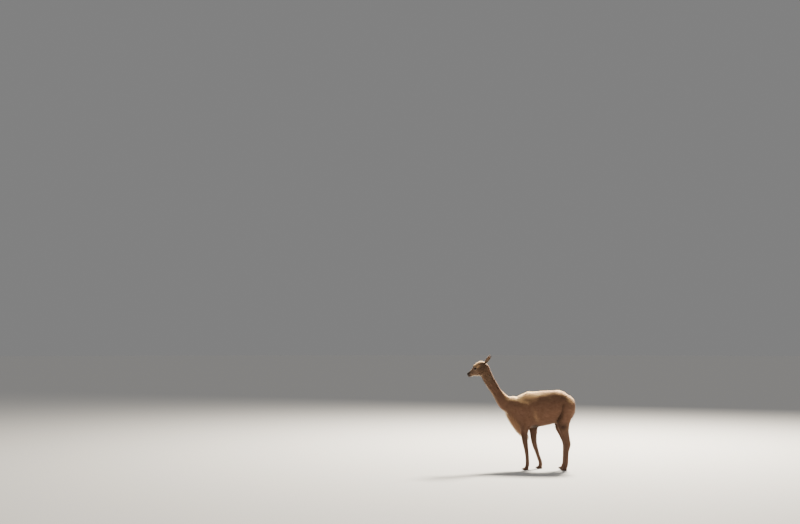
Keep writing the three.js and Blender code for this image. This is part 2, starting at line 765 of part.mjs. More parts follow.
// The tail with its locks, which stay clear of the wool on the rump
function wholeTail({ trunk, legs, tail }) {
  const over = (wool) => wool.depth * WOOL_VARIES + CLEAR;
  const rump = join([
    trunk.solid(...FACETS.trunk, over(WOOL)),
    legs.hind.left.solid(...FACETS.leg, over(THIGH_WOOL)),
    legs.hind.right.solid(...FACETS.leg, over(THIGH_WOOL)),
  ]);
  return tail.solid(...FACETS.tail).add(join(tailLocks(tail)).subtract(rump));
}

// The locks of the bib, clear of the trunk behind them and of the forelegs
function bib({ trunk, legs }, chestBlock) {
  const trunkClear = trunk.solid(...FACETS.trunk, CLEAR);
  const foreleg = [[-WIDE, -LEG_INSIDE], [LEG_INSIDE, WIDE]].map((span) =>
    trunkClear.intersect(block(grown(LEG_OUTLINES.foreleg, GAP * 2), ...span)),
  );
  const passed = join([
    trunkClear.subtract(chestBlock),
    ...foreleg,
    legs.fore.left.solid(...FACETS.leg, CLEAR),
    legs.fore.right.solid(...FACETS.leg, CLEAR),
  ]);
  return join(bibLocks()).subtract(passed);
}

function build() {
  const forms = {
    trunk: trunkForm(),
    neck: new Form(NECK_STATIONS),
    tail: new Form(TAIL_STATIONS),
    legs: {
      fore: {
        left: new Form(onSide(FORELEG_ROWS.left, SIDES.left)),
        right: new Form(onSide(FORELEG_ROWS.right, SIDES.right)),
      },
      hind: {
        left: new Form(onSide(HINDLEG_ROWS, SIDES.left, hindlegShift("left"))),
        right: new Form(onSide(HINDLEG_ROWS, SIDES.right, hindlegShift("right"))),
      },
    },
  };
  const model = new THREE.Group();
  const put = (name, solid, colour) => model.add(meshOf(name, solid, colour));

  const { body: whole, nails } = wholeBody(forms);
  let body = whole.subtract(forms.tail.solid(...FACETS.tail, GAP));
  put("tail", wholeTail(forms), "wool");

  let headPart = body.intersect(beyond(...HEAD_CUT, GAP / 2));
  body = body.subtract(beyond(...HEAD_CUT, -GAP / 2));
  for (const [name, side] of Object.entries(SIDES)) {
    const eared = headPart.add(ear(name));
    put("ear_" + name, eared.intersect(earRegion(name, GAP)), "face");
    headPart = eared.subtract(earRegion(name, 0));
    put("eye_" + name, eyeBall(side), "eye");
  }
  put("head", headPart, "face");
  put("neck", body.intersect(beyond(...NECK_CUT, GAP / 2)), "wool");
  body = body.subtract(beyond(...NECK_CUT, -GAP / 2));

  for (const [name, side] of Object.entries(SIDES))
    for (const [part, outline] of Object.entries(LEG_OUTLINES)) {
      const [piece, rest] = cutOff(body, outline, side);
      put(`${part}_${name}`, piece, "wool");
      body = rest;
    }

  const chestBlock = block(CHEST_OUTLINE, -WIDE, WIDE);
  put("chest", body.intersect(chestBlock).add(bib(forms, chestBlock)), "pale");
  put("torso", body.subtract(block(grown(CHEST_OUTLINE, GAP * 2), -WIDE, WIDE)), "wool");
  for (const { name, shape } of nails) put(name, shape, "nail");
  return centred(model);
}

// The frame's origin lies on the floor, below the middle of the bounding box
function centred(model) {
  const bounds = new THREE.Box3().setFromObject(model);
  const middle = bounds.getCenter(new THREE.Vector3());
  for (const mesh of model.children) mesh.geometry.translate(-middle.x, -middle.y, -bounds.min.z);
  return model;
}

export default build();
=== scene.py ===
import json
import math

import bpy
import numpy as np
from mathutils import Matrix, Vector, kdtree

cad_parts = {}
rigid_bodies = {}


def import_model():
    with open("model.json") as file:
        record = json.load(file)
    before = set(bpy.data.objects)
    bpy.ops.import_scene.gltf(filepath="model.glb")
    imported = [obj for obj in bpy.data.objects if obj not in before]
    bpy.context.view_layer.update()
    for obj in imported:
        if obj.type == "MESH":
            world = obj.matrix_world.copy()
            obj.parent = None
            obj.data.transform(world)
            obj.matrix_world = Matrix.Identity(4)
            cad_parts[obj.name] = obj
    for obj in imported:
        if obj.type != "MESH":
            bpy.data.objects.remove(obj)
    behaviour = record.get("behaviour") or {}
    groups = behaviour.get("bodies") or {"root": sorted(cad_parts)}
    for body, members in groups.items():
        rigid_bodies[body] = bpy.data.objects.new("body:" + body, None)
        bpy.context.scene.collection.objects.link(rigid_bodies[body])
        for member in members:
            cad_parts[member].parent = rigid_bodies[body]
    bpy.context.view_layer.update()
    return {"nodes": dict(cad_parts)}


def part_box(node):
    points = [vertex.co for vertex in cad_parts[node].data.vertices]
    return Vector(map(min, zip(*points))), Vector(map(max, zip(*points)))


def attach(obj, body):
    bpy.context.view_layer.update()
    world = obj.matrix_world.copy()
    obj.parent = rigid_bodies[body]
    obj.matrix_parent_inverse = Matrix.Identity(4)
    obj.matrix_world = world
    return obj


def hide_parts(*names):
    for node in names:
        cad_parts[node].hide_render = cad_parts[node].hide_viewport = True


for thing in list(bpy.data.objects):
    bpy.data.objects.remove(thing)
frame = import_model()

# View: the frame, its horizon and the animal's place in it, in pixels of the picture
IMAGE = (800, 524)
HORIZON_ROW = 340
FEET_ROW = 469
MIDDLE_COLUMN = 521.1
METRES_PER_PIXEL = 0.01083
LENS = 50
SENSOR = 36

SIDES = {"left": -1, "right": 1}
FLESH = ["torso", "chest", "neck", "head", "tail"] + [
    part + "_" + side for part in ("foreleg", "hindleg", "thigh", "ear") for side in SIDES
]


def make_camera():
    """A level picture is tipped up to the horizon and turned until the animal's middle is due +Y."""
    focus = IMAGE[0] * LENS / SENSOR
    pitch = math.atan((HORIZON_ROW - IMAGE[1] / 2) / focus)
    right = (MIDDLE_COLUMN - IMAGE[0] / 2) / focus
    up = (IMAGE[1] / 2 - FEET_ROW) / focus
    forward = math.cos(pitch) - up * math.sin(pitch)
    rise = math.sin(pitch) + up * math.cos(pitch)
    turn = math.atan2(right, forward)
    distance = METRES_PER_PIXEL * focus / math.cos(turn)
    height = -rise / math.hypot(right, forward) * distance
    bpy.ops.object.camera_add(
        location=(0, -distance, height), rotation=(math.pi / 2 + pitch, 0, turn)
    )
    camera = bpy.context.object
    camera.name = "camera"
    camera.data.lens = LENS
    camera.data.sensor_width = SENSOR
    camera.data.clip_end = 500
    bpy.context.scene.camera = camera


# Studio

PALE = (0.45, 0.44, 0.425)
# Strength of the world at these heights of the sky: even at the horizon, bright overhead
SKY = [(0.0, 0.222), (0.3, 0.222), (0.55, 0.54), (1.0, 0.54)]
FLOOR_RADIUS = 90
# Place, size and power of each light; all of them look at the animal's middle
LIGHTS = {
    "key": ((1.5, 4.4, 6.2), 1.6, 4900, (1.0, 0.92, 0.78)),
    "front": ((-3.0, -6.5, 3.6), 1.6, 40, (1.0, 0.97, 0.94)),
}
AIM = Vector((0, 0, 0.65))


def make_studio():
    bpy.ops.mesh.primitive_circle_add(vertices=96, radius=FLOOR_RADIUS, fill_type="NGON")
    floor = bpy.context.object
    floor.name = "floor"
    paint = start_material("floor_paint", {"Base Color": (*PALE, 1), "Roughness": 0.9})
    floor.data.materials.append(paint[0])
    for name, (spot, size, power, colour) in LIGHTS.items():
        turn = (AIM - Vector(spot)).to_track_quat("-Z", "Y").to_euler()
        bpy.ops.object.light_add(type="AREA", location=spot, rotation=turn)
        light = bpy.context.object
        light.name = name
        light.data.size = size
        light.data.energy = power
        light.data.color = colour
    world = bpy.context.scene.world or bpy.data.worlds.new("studio")
    bpy.context.scene.world = world
    world.use_nodes = True
    nodes, links = world.node_tree.nodes, world.node_tree.links
    where = add_node(nodes, "TexCoord")
    split = add_node(nodes, "SeparateXYZ")
    ramp = add_ramp(nodes, [(height, (level,) * 3) for height, level in SKY])
    links.new(where.outputs["Generated"], split.inputs["Vector"])
    links.new(split.outputs["Z"], ramp.inputs["Fac"])
    links.new(ramp.outputs["Color"], nodes["Background"].inputs["Color"])


# Small helpers


def add_node(nodes, kind, inputs=None, **settings):
    """A shader node with these inputs and settings."""
    node = nodes.new("ShaderNode" + kind)
    for name, value in settings.items():
        setattr(node, name, value)
    for socket, value in (inputs or {}).items():
        node.inputs[socket].default_value = value
    return node


def add_ramp(nodes, stops):
    """A colour ramp with these places and colours."""
    ramp = add_node(nodes, "ValToRGB")
    elements = ramp.color_ramp.elements
    while len(elements) < len(stops):
        elements.new(0.5)
    for element, (where, colour) in zip(elements, stops):
        element.position = where
        element.color = (*colour, 1)
    return ramp


def start_material(name, finish):
    """A new material with its nodes, its links and its shader, which has this finish."""
    material = bpy.data.materials.new(name)
    material.use_nodes = True
    tree = material.node_tree
    shader = tree.nodes["Principled BSDF"]
    for socket, value in finish.items():
        shader.inputs[socket].default_value = value
    return material, tree.nodes, tree.links, shader


def picked(*pieces):
    """Makes these the only selected objects, the first one active."""
    bpy.ops.object.select_all(action="DESELECT")
    for piece in pieces:
        piece.select_set(True)
    bpy.context.view_layer.objects.active = pieces[0]


def applied(piece, kind, **settings):
    """Adds a modifier with these settings and applies it."""
    picked(piece)
    modifier = piece.modifiers.new(kind.lower(), kind)
    for name, value in settings.items():
        setattr(modifier, name, value)
    bpy.ops.object.modifier_apply(modifier=modifier.name)


def settled(piece):
    """Moves the object's place, turn and size into its mesh."""
    picked(piece)
    bpy.ops.object.transform_apply(location=True, rotation=True, scale=True)


def place(node, x, y, z):
    """The point at these shares of a node's box."""
    low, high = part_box(node)
    return Vector(a + (b - a) * share for a, b, share in zip(low, high, (x, y, z)))


def points_of(piece):
    co = np.empty(len(piece.data.vertices) * 3, np.float32)
    piece.data.vertices.foreach_get("co", co)
    return co.reshape(-1, 3).astype(float)


def normals_of(piece):
    no = np.empty(len(piece.data.vertices) * 3, np.float32)
    piece.data.vertices.foreach_get("normal", no)
    return no.reshape(-1, 3).astype(float)


def move_points(piece, points):
    piece.data.vertices.foreach_set("co", points.astype(np.float32).ravel())
    piece.data.update()


def unit(vectors):
    return vectors / np.maximum(np.linalg.norm(vectors, axis=-1, keepdims=True), 1e-9)


def dot(a, b):
    return (a * b).sum(axis=-1)


def step(value, low, high):
    """0 up to low, 1 from high, and smooth between them."""
    share = np.clip((value - low) / (high - low), 0, 1)
    return share * share * (3 - 2 * share)


def fade(value, full, none):
    """1 up to full, 0 from none, and smooth between them."""
    return step(-value, -none, -full)


def spot(places, centre, half):
    """1 at the centre of a soft round mark, 0 away from it."""
    return np.exp(-(((places - centre) / half) ** 2).sum(axis=1))


def mixed(base, other, share):
    share = np.asarray(share)[..., None]
    return base * (1 - share) + np.asarray(other) * share


def rgb(red, green, blue):
    """A colour given in screen values from 0 to 255."""
    value = np.array([red, green, blue]) / 255
    return np.where(value <= 0.04045, value / 12.92, ((value + 0.055) / 1.055) ** 2.4)


# The head's own frame: s runs from the back of the skull to the nose, h is up from that line
HEAD_PITCH = math.radians(20)
HEAD_ALONG = np.array([-math.cos(HEAD_PITCH), 0, -math.sin(HEAD_PITCH)])
HEAD_UP = np.array([-math.sin(HEAD_PITCH), 0, math.cos(HEAD_PITCH)])
EYE_S, EYE_H = 0.113, 0.035
EYE_MIDDLE = {side: np.array(place("eye_" + side, 0.5, 0.5, 0.5)) for side in SIDES}
EYE_RADIUS = (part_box("eye_left")[1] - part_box("eye_left")[0]).y / 2
HEAD_ORIGIN = sum(EYE_MIDDLE.values()) / 2 - EYE_S * HEAD_ALONG - EYE_H * HEAD_UP


def at_head(s, y, h):
    return HEAD_ORIGIN + s * HEAD_ALONG + h * HEAD_UP + np.array([0, y, 0])


def to_head(points):
    """The places in the head's frame, as columns s, y, h."""
    away = points - HEAD_ORIGIN
    return np.stack([away @ HEAD_ALONG, away[..., 1], away @ HEAD_UP], axis=-1)


# Lines of the body, each from its root to its tip, with the radius of its part
LINES = {
    "head": ([at_head(0.2, 0, 0), at_head(0.1, 0, 0.01), at_head(0.03, 0, 0.02)], 0.052),
    "neck": (
        [at_head(-0.005, 0, -0.03), place("neck", 0.3, 0.5, 0.66), place("neck", 0.52, 0.5, 0.38),
         place("neck", 0.8, 0.5, 0.1)], 0.055,
    ),
    "trunk": (
        [place("torso", 0.02, 0.5, 0.5), place("torso", 0.3, 0.5, 0.47), place("torso", 0.6, 0.5, 0.55),
         place("torso", 0.86, 0.5, 0.66)], 0.15,
    ),
    "tail": (
        [place("tail", 0.35, 0.5, 0.98), place("tail", 0.8, 0.5, 0.66), place("tail", 0.5, 0.5, 0.2)],
        0.06,
    ),
    "ear_left": ([place("ear_left", 0.1, 0.75, -0.1), place("ear_left", 0.97, 0.06, 1)], 0.016),
    "ear_right": ([place("ear_right", 0.1, 0.25, -0.1), place("ear_right", 0.97, 0.94, 1)], 0.016),
}
FORELEG_LINE = {
    "left": [(0.45, 0.95), (0.4, 0.49), (0.46, 0.07)],
    "right": [(0.53, 0.95), (0.69, 0.49), (0.9, 0.07)],
}
for leg_side in SIDES:
    LINES["foreleg_" + leg_side] = (
        [place("foreleg_" + leg_side, x, 0.5, z) for x, z in FORELEG_LINE[leg_side]], 0.032,
    )
    LINES["hindleg_" + leg_side] = (
        [place("thigh_" + leg_side, 0.42, 0.5, 0.6), place("thigh_" + leg_side, 0.5, 0.5, 0.05),
         place("hindleg_" + leg_side, 0.72, 0.5, 0.57), place("hindleg_" + leg_side, 0.6, 0.5, 0.1)],
        0.034,
    )
PART_NAMES = list(LINES)
BLEND = 3.2  # how sharply one part's coat gives way to the next
TAIL_EDGE = (0.66, 0.8)  # share of the tail in a place, between which its own hair starts


def near_lines(points):
    """Each part's share in each point, and the way that its line runs there."""
    shares, ways = [], []
    for line, radius in LINES.values():
        best = np.full(len(points), 1e9)
        way = np.zeros_like(points)
        for a, b in zip(line, line[1:]):
            a, b = np.array(a), np.array(b)
            along = b - a
            t = np.clip((points - a) @ along / (along @ along), 0, 1)
            far = np.linalg.norm(points - a - t[:, None] * along, axis=1)
            closer = far < best
            best = np.where(closer, far, best)
            way[closer] = along / np.linalg.norm(along)
        shares.append(np.exp(-BLEND * best / radius))
        ways.append(way)
    shares = np.array(shares)
    return shares / shares.sum(axis=0), np.array(ways)


class Places:
    """Points on the hide, with their normals and what part of the animal they lie on."""

    def __init__(self, points, normals, uv=None):
        self.points, self.normals, self.uv = points, normals, uv
        self.shares, self.ways = near_lines(points)
        self.head = self.part("head")
        self.neck = self.part("neck")
        self.trunk = self.part("trunk")
        self.tail = self.part("tail")
        self.ears = self.part("ear_left", "ear_right")
        self.legs = self.part("foreleg_left", "foreleg_right", "hindleg_left", "hindleg_right")
        self.outward = normals[:, 1] * np.where(points[:, 1] < 0, -1.0, 1.0)
        self.in_head = to_head(points)

    def part(self, *names):
        return sum(self.shares[PART_NAMES.index(name)] for name in names)

    def __len__(self):
        return len(self.points)

    def only(self, chosen):
        uv = None if self.uv is None else self.uv[chosen]
        return Places(self.points[chosen], self.normals[chosen], uv)


# Skin

VOXEL = 0.0063
FLEECE_ROUNDS = 260  # of smoothing, which takes the clumps of the solids off the skin
GAP = 0.0006  # the solids' gaps are closed by this much swelling

# What fills the skin where the solids hold long locks: the breast and the core of the tail,
# as places in a node's box and half sizes
BREAST = [
    (("chest", 0.52, 0.5, 0.96), (0.085, 0.078, 0.09)),
    (("chest", 0.68, 0.5, 0.8), (0.088, 0.084, 0.085)),
    (("chest", 0.84, 0.5, 0.68), (0.08, 0.085, 0.075)),
]
TAIL_CORE = [
    ((0.3, 0.97), 0.012), ((0.52, 0.9), 0.015), ((0.74, 0.78), 0.019), ((0.82, 0.62), 0.02),
    ((0.76, 0.45), 0.019), ((0.62, 0.3), 0.015), ((0.5, 0.2), 0.009),
]


def copy_of(node):
    """A node's mesh as a piece of its own, with its doubled points merged."""
    piece = bpy.data.objects.new(node + "_copy", frame["nodes"][node].data.copy())
    bpy.context.collection.objects.link(piece)
    picked(piece)
    bpy.ops.object.mode_set(mode="EDIT")
    bpy.ops.mesh.select_all(action="SELECT")
    bpy.ops.mesh.remove_doubles(threshold=1e-6)
    bpy.ops.mesh.normals_make_consistent(inside=False)
    bpy.ops.object.mode_set(mode="OBJECT")
    piece.data.materials.clear()
    return piece


def rounded(centre, half):
    bpy.ops.object.select_all(action="DESELECT")
    bpy.ops.mesh.primitive_uv_sphere_add(segments=32, ring_count=20, radius=1, location=centre, scale=half)
    piece = bpy.context.object
    settled(piece)
    return piece


def join(pieces, name):
    picked(*pieces)
    bpy.ops.object.join()
    pieces[0].name = pieces[0].data.name = name
    return pieces[0]


def keep_largest(piece):
    """Drops every loose shell but the largest."""
    picked(piece)
    bpy.ops.object.mode_set(mode="EDIT")
    bpy.ops.mesh.select_all(action="SELECT")
    bpy.ops.mesh.separate(type="LOOSE")
    bpy.ops.object.mode_set(mode="OBJECT")
    shells = sorted(bpy.context.selected_objects, key=lambda o: len(o.data.vertices))
    name = piece.name
    for shell in shells[:-1]:
        bpy.data.objects.remove(shell)
    shells[-1].name = name
    return shells[-1]


def body_shape():
    """All flesh as one even mesh."""
    names = [n for n in FLESH if n not in ("chest", "tail") and not n.startswith("ear")]
    pieces = [copy_of(name) for name in names + ["eye_left", "eye_right"]]
    for piece in pieces:
        applied(piece, "DISPLACE", strength=GAP, mid_level=0)
    pieces += [rounded(place(*spot), half) for spot, half in BREAST]
    pieces += [rounded(place("tail", x, 0.5, z), (r, r, r)) for (x, z), r in TAIL_CORE]
    body = join(pieces, "skin")
    applied(body, "REMESH", mode="VOXEL", voxel_size=VOXEL)
    return keep_largest(body)


def weigh(piece, name, weights):
    """A vertex group with these weights."""
    group = piece.vertex_groups.new(name=name)
    levels = np.round(np.clip(weights, 0, 1) * 10).astype(int)
    for level in range(1, 11):
        group.add(np.flatnonzero(levels == level).tolist(), level / 10, "REPLACE")
    return group.name


def smooth(piece, weights, rounds, factor=0.5):
    name = weigh(piece, "smooth", weights)
    applied(piece, "SMOOTH", factor=factor, iterations=rounds, vertex_group=name)
    piece.vertex_groups.clear()


def even(piece, weights, rounds):
    """Takes facets and steps off without shrinking the shape."""
    for _ in range(rounds):
        smooth(piece, weights, 3, 0.5)
        smooth(piece, weights, 3, -0.52)


def refine(piece, chosen):
    """Cuts the faces whose points are all chosen into four."""
    picked(piece)
    bpy.ops.object.mode_set(mode="EDIT")
    bpy.ops.mesh.select_all(action="DESELECT")
    bpy.ops.object.mode_set(mode="OBJECT")
    piece.data.vertices.foreach_set("select", chosen)
    bpy.ops.object.mode_set(mode="EDIT")
    bpy.ops.mesh.select_mode(type="VERT")
    bpy.ops.mesh.subdivide(number_cuts=1, quadcorner="INNERVERT")
    bpy.ops.object.mode_set(mode="OBJECT")


# Depth of the coat over the skin by part, taken off the smoothed solids
INSET = {"head": 0.0012, "neck": 0.004, "trunk": 0.003, "tail": 0.0, "leg": 0.0018}
BELLY_INSET = 0.006


def inset(body):
    spots = Places(points_of(body), normals_of(body))
    belly = spots.trunk * step(-spots.normals[:, 2], 0.2, 0.8)
    depth = (
        spots.head * INSET["head"] + spots.neck * INSET["neck"] + spots.trunk * INSET["trunk"]
        + spots.legs * INSET["leg"] + belly * BELLY_INSET
    )
    low = step(spots.points[:, 2], 0.0, 0.03)
    move_points(body, spots.points - spots.normals * (depth * low)[:, None])


# Eyes and lids. Angles are seen from the eyeball's middle, in its own frame.
EYE_LOOK = (0.38, 0.9, 0.14)  # along, across and up in the head's frame
EYE_SLANT = 0.3  # the inner corner lies lower than the outer one
OPENING = {"half": 0.86, "top": 0.62, "bottom": 0.5}
LEAN = 0.18  # the opening is this much higher towards the nose
LID_THICK = 0.0019
LID_SLOPE = 0.003  # the lids thicken by this much away from the opening
LID_CREASE = {"depth": 0.0012, "away": 0.34, "half": 0.07}
BALL_DEPTH = 0.004  # the hidden skin lies this far inside the ball
LID_REACH = 0.04  # how far from the eye's middle the skin is shaped


def eye_frame(side):
    way = SIDES[side]
    look = unit(EYE_LOOK[0] * HEAD_ALONG + EYE_LOOK[2] * HEAD_UP + np.array([0, way * EYE_LOOK[1], 0]))
    along = math.cos(EYE_SLANT) * HEAD_ALONG - math.sin(EYE_SLANT) * HEAD_UP
    along = unit(along - look * (along @ look))
    up = np.cross(look, along)
    up = up if up @ HEAD_UP > 0 else -up
    return look, along, up


def arch(share):
    """Height of the opening at this share of its half width, to that at its middle."""
    return (1 - share ** 2) ** 0.8


def opening(points, side):
    """How far each point lies inside the lids' opening, as an angle: positive inside it."""
    look, along, up = eye_frame(side)
    away = points - EYE_MIDDLE[side]
    ahead = np.maximum(away @ look, 1e-5)
    across = np.arctan2(away @ along, ahead)
    rise = np.arctan2(away @ up, ahead)
    high = arch(np.clip(np.abs(across) / OPENING["half"], 0, 1))
    lean = 1 + LEAN * np.clip(across / OPENING["half"], -1, 1)
    inside = np.minimum(OPENING["top"] * high * lean - rise, rise + OPENING["bottom"] * high)
    inside = inside - np.maximum(np.abs(across) - OPENING["half"], 0)
    return np.where(away @ look > 0.002, inside, -2), rise


def lid_opening(points):
    """How far each point lies inside the opening of either eye."""
    return np.maximum(opening(points, "left")[0], opening(points, "right")[0])


def shape_lids(points):
    for side in SIDES:
        middle = EYE_MIDDLE[side]
        inside, rise = opening(points, side)
        away = points - middle
        far = np.linalg.norm(away, axis=1)
        near = (far < LID_REACH) & (inside > -1.2)
        outward = away / far[:, None]
        lid = EYE_RADIUS + LID_THICK + LID_SLOPE * np.clip(-inside, 0, 1)
        crease = np.exp(-((inside + LID_CREASE["away"]) / LID_CREASE["half"]) ** 2)
        crease *= LID_CREASE["depth"] * step(rise, 0.1, 0.5)
        outer = mixed(lid[:, None], far[:, None], step(-inside, 0.18, 0.8))[:, 0] - crease
        hidden = EYE_RADIUS - BALL_DEPTH
        target = outer + (hidden - outer) * step(inside, 0.0, 0.14)
        points = np.where(near[:, None], middle + outward * target[:, None], points)
    return points


# Lines of the face, in the head's frame: the mouth in the side view, the nostril of one side
MOUTH = [
    (0.2287, -0.0085), (0.218, -0.0095), (0.205, -0.0125), (0.19, -0.0165), (0.178, -0.0192),
    (0.172, -0.0192),
]
MOUTH_CORNER = 0.172
NOSTRIL = [(0.2248, 0.0125, 0.0052), (0.2205, 0.0195, 0.0092), (0.2145, 0.0217, 0.0152)]
# Depth and half width of the grooves along them, and of the cleft in the upper lip
GROOVES = {"mouth": (0.0026, 0.0011), "nostril": (0.0065, 0.0021), "cleft": (0.0024, 0.0014)}
# Height of the swellings beside them, with their distance from the line and half width
SWELLINGS = {"mouth": (0.0011, 0.0042, 0.0026), "nostril": (0.0013, 0.0048, 0.0022)}


def far_from_path(places, path):
    """Distance of each point from a bent line."""
    best = np.full(len(places), 1e9)
    for a, b in zip(path, path[1:]):
        a, b = np.array(a), np.array(b)
        t = np.clip((places - a) @ (b - a) / ((b - a) @ (b - a)), 0, 1)
        best = np.minimum(best, np.linalg.norm(places - a - t[:, None] * (b - a), axis=1))
    return best


def from_mouth(in_head):
    """Distance from the line of the mouth, in the side view."""
    return far_from_path(in_head[:, [0, 2]], MOUTH)


def from_nostril(in_head):
    """Distance from the nearer nostril."""
    s, y, h = in_head.T
    return far_from_path(np.stack([s, np.abs(y), h], axis=1), NOSTRIL)


# The fold between flank and thigh, as places in the side view, with its depth and half width
FLANK_FOLD = [(0.437, 0.7), (0.427, 0.64), (0.392, 0.565), (0.356, 0.478)]
FOLD_DEPTH, FOLD_HALF = 0.013, 0.015


def flank_fold(points):
    """1 along the fold on either side, 0 away from it."""
    far = far_from_path(points[:, [0, 2]], FLANK_FOLD)
    return np.exp(-((far / FOLD_HALF) ** 2)) * step(np.abs(points[:, 1]), 0.03, 0.06)


# The line from the neck to the back: place along the body, half width and rise of each soft step
WITHERS = [(-0.095, 0.03, 0.008), (0.01, 0.05, -0.016)]


def withers(points, normals):
    """How far the skin rises or sinks in front of the back, so that neck and back meet in a soft line."""
    over = step(normals[:, 2], 0.1, 0.7) * step(points[:, 2], 0.7, 0.74)
    return over * sum(rise * np.exp(-(((points[:, 0] - x) / half) ** 2)) for x, half, rise in WITHERS)


def groove(far, name):
    depth, half = GROOVES[name]
    return -depth * np.exp(-((far / half) ** 2))


def swelling(far, name):
    rise, away, half = SWELLINGS[name]
    return rise * np.exp(-(((far - away) / half) ** 2))


def shape_face(points, normals):
    """The mouth between its lips, the nostrils, and the cleft of the upper lip."""
    in_head = to_head(points)
    s, y, h = in_head.T
    mouth, nostril = from_mouth(in_head), from_nostril(in_head)
    out = groove(mouth, "mouth") * step(s, MOUTH_CORNER - 0.002, MOUTH_CORNER + 0.012)
    out += swelling(mouth, "mouth") * step(s, 0.185, 0.21)
    out += groove(nostril, "nostril") + swelling(nostril, "nostril")
    lip = step(s, 0.212, 0.219) * step(h, -0.011, -0.007) * fade(h, 0.006, 0.012)
    out += groove(y, "cleft") * lip
    return points + normals * out[:, None]


# The cleft between the toes: depth, half width and middle ahead of the nails' own, with its length
# and height, each from where it is full to where it ends
TOE_CLEFT = {"depth": 0.009, "half": 0.0032, "middle": 0.008, "long": (0.022, 0.036), "high": (0.024, 0.05)}
SOLE = 0.0035  # all skin below this height is pressed flat


def shape_feet(points, normals):
    """The cleft between the two toes, and the flat sole."""
    for side in SIDES:
        for pair in ("fore", "hind"):
            nails = [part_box(f"nail_{pair}_{side}_{which}") for which in ("inner", "outer")]
            low = np.minimum(*[np.array(box[0]) for box in nails])
            high = np.maximum(*[np.array(box[1]) for box in nails])
            middle = (low + high) / 2
            across = (points[:, 1] - middle[1]) / TOE_CLEFT["half"]
            along = np.abs(points[:, 0] - middle[0] - TOE_CLEFT["middle"])
            here = fade(along, *TOE_CLEFT["long"]) * fade(points[:, 2], *TOE_CLEFT["high"])
            points = points - normals * (TOE_CLEFT["depth"] * np.exp(-across ** 2) * here)[:, None]
    points[:, 2] = np.where(points[:, 2] < SOLE, 0.0, points[:, 2])
    return points


EAR_SINK = 0.012  # the ear's foot is pushed this deep into the head
EAR_VOXEL = 0.0018


def ear_shape(name):
    """An ear's thin cup, its foot drawn down into the head."""
    ear = copy_of("ear_" + name)
    points = points_of(ear)
    low, high = points[points[:, 2].argmin()], points[points[:, 2].argmax()]
    up = unit(high - low)
    share = (points - low) @ up / ((high - low) @ up)
    foot = step(-share, -0.2, 0.0)
    middle = points[share < 0.1].mean(axis=0)
    axis = middle + ((points - middle) @ up)[:, None] * up
    points = mixed(points, axis, 0.25 * foot) - up * (EAR_SINK * foot)[:, None]
    move_points(ear, points)
    applied(ear, "REMESH", mode="VOXEL", voxel_size=EAR_VOXEL)
    smooth(ear, np.ones(len(ear.data.vertices)), 4)
    return ear, middle


CHEEK_ROUNDS = 14  # of smoothing, where the solids of muzzle and skull meet


def cheeks(points):
    """1 on the cheeks from the eyes to the muzzle, 0 elsewhere."""
    s, y, _ = to_head(points).T
    along = step(s, 0.1, 0.13) * fade(s, 0.2, 0.215)
    return along * step(np.abs(y), 0.01, 0.02) * step(points[:, 2], 0.9, 0.95)


# Rounds of evening for the short-haired parts and for the finer head, and of smoothing round the ears
EVEN_BODY, EVEN_HEAD, EAR_ROUNDS = 4, 3, 8


def make_skin():
    """One closed skin for all of the flesh, with its folds, lids, mouth, nostrils, toes and ears."""
    skin = body_shape()
    spots = Places(points_of(skin), normals_of(skin))
    lower_legs = spots.legs * fade(spots.points[:, 2], 0.42, 0.52)
    upper_neck = 0.75 * spots.neck * step(spots.points[:, 2], 0.75, 0.9)
    fleece = np.clip(1 - spots.head * 1.3 - lower_legs - upper_neck, 0, 1)
    smooth(skin, fleece, FLEECE_ROUNDS)
    even(skin, 1 - fleece, EVEN_BODY)
    inset(skin)
    points, normals = points_of(skin), normals_of(skin)
    folded = points - normals * (FOLD_DEPTH * flank_fold(points))[:, None]
    folded[:, 2] += withers(points, normals)
    move_points(skin, folded)
    refine(skin, near_face(points_of(skin), 0) | (points_of(skin)[:, 2] < 0.05))
    refine(skin, near_face(points_of(skin), 1))
    points = points_of(skin)
    on_head = step(to_head(points)[:, 0], -0.03, 0.0) * step(points[:, 2], 0.92, 0.95)
    even(skin, on_head + fade(points[:, 2], 0.03, 0.05), EVEN_HEAD)
    smooth(skin, cheeks(points_of(skin)), CHEEK_ROUNDS)
    refine(skin, near_face(points_of(skin), 2))
    move_points(skin, shape_lids(points_of(skin)))
    move_points(skin, shape_face(points_of(skin), normals_of(skin)))
    move_points(skin, shape_feet(points_of(skin), normals_of(skin)))
    for name in SIDES:
        ear, foot = ear_shape(name)
        applied(skin, "BOOLEAN", operation="UNION", object=ear, solver="MANIFOLD")
        bpy.data.objects.remove(ear)
        far = np.linalg.norm(points_of(skin) - foot, axis=1)
        smooth(skin, fade(far, 0.014, 0.026), EAR_ROUNDS)
    picked(skin)
    bpy.ops.object.shade_smooth()
    return skin


# Where the muzzle starts along the head, and how far from each thing the finer faces reach
MUZZLE_START = 0.14
FINE = {"eye": 0.036, "lids": 0.027, "nostril": 0.009, "mouth": 0.006}


def near_face(points, level):
    """The places that need finer faces: the head, then the muzzle and the eyes, then the rims and lines."""
    in_head = to_head(points)
    s, _, h = in_head.T
    high = points[:, 2] > 0.9
    if level == 0:
        return high & (s > -0.03) & (h > -0.075)
    eye = np.minimum(*[np.linalg.norm(points - EYE_MIDDLE[side], axis=1) for side in SIDES])
    if level == 1:
        return high & ((s > MUZZLE_START) | (eye < FINE["eye"]))
    lips = (from_mouth(in_head) < FINE["mouth"]) & (s > MOUTH_CORNER - 0.008)
    return high & ((eye < FINE["lids"]) | (from_nostril(in_head) < FINE["nostril"]) | lips)


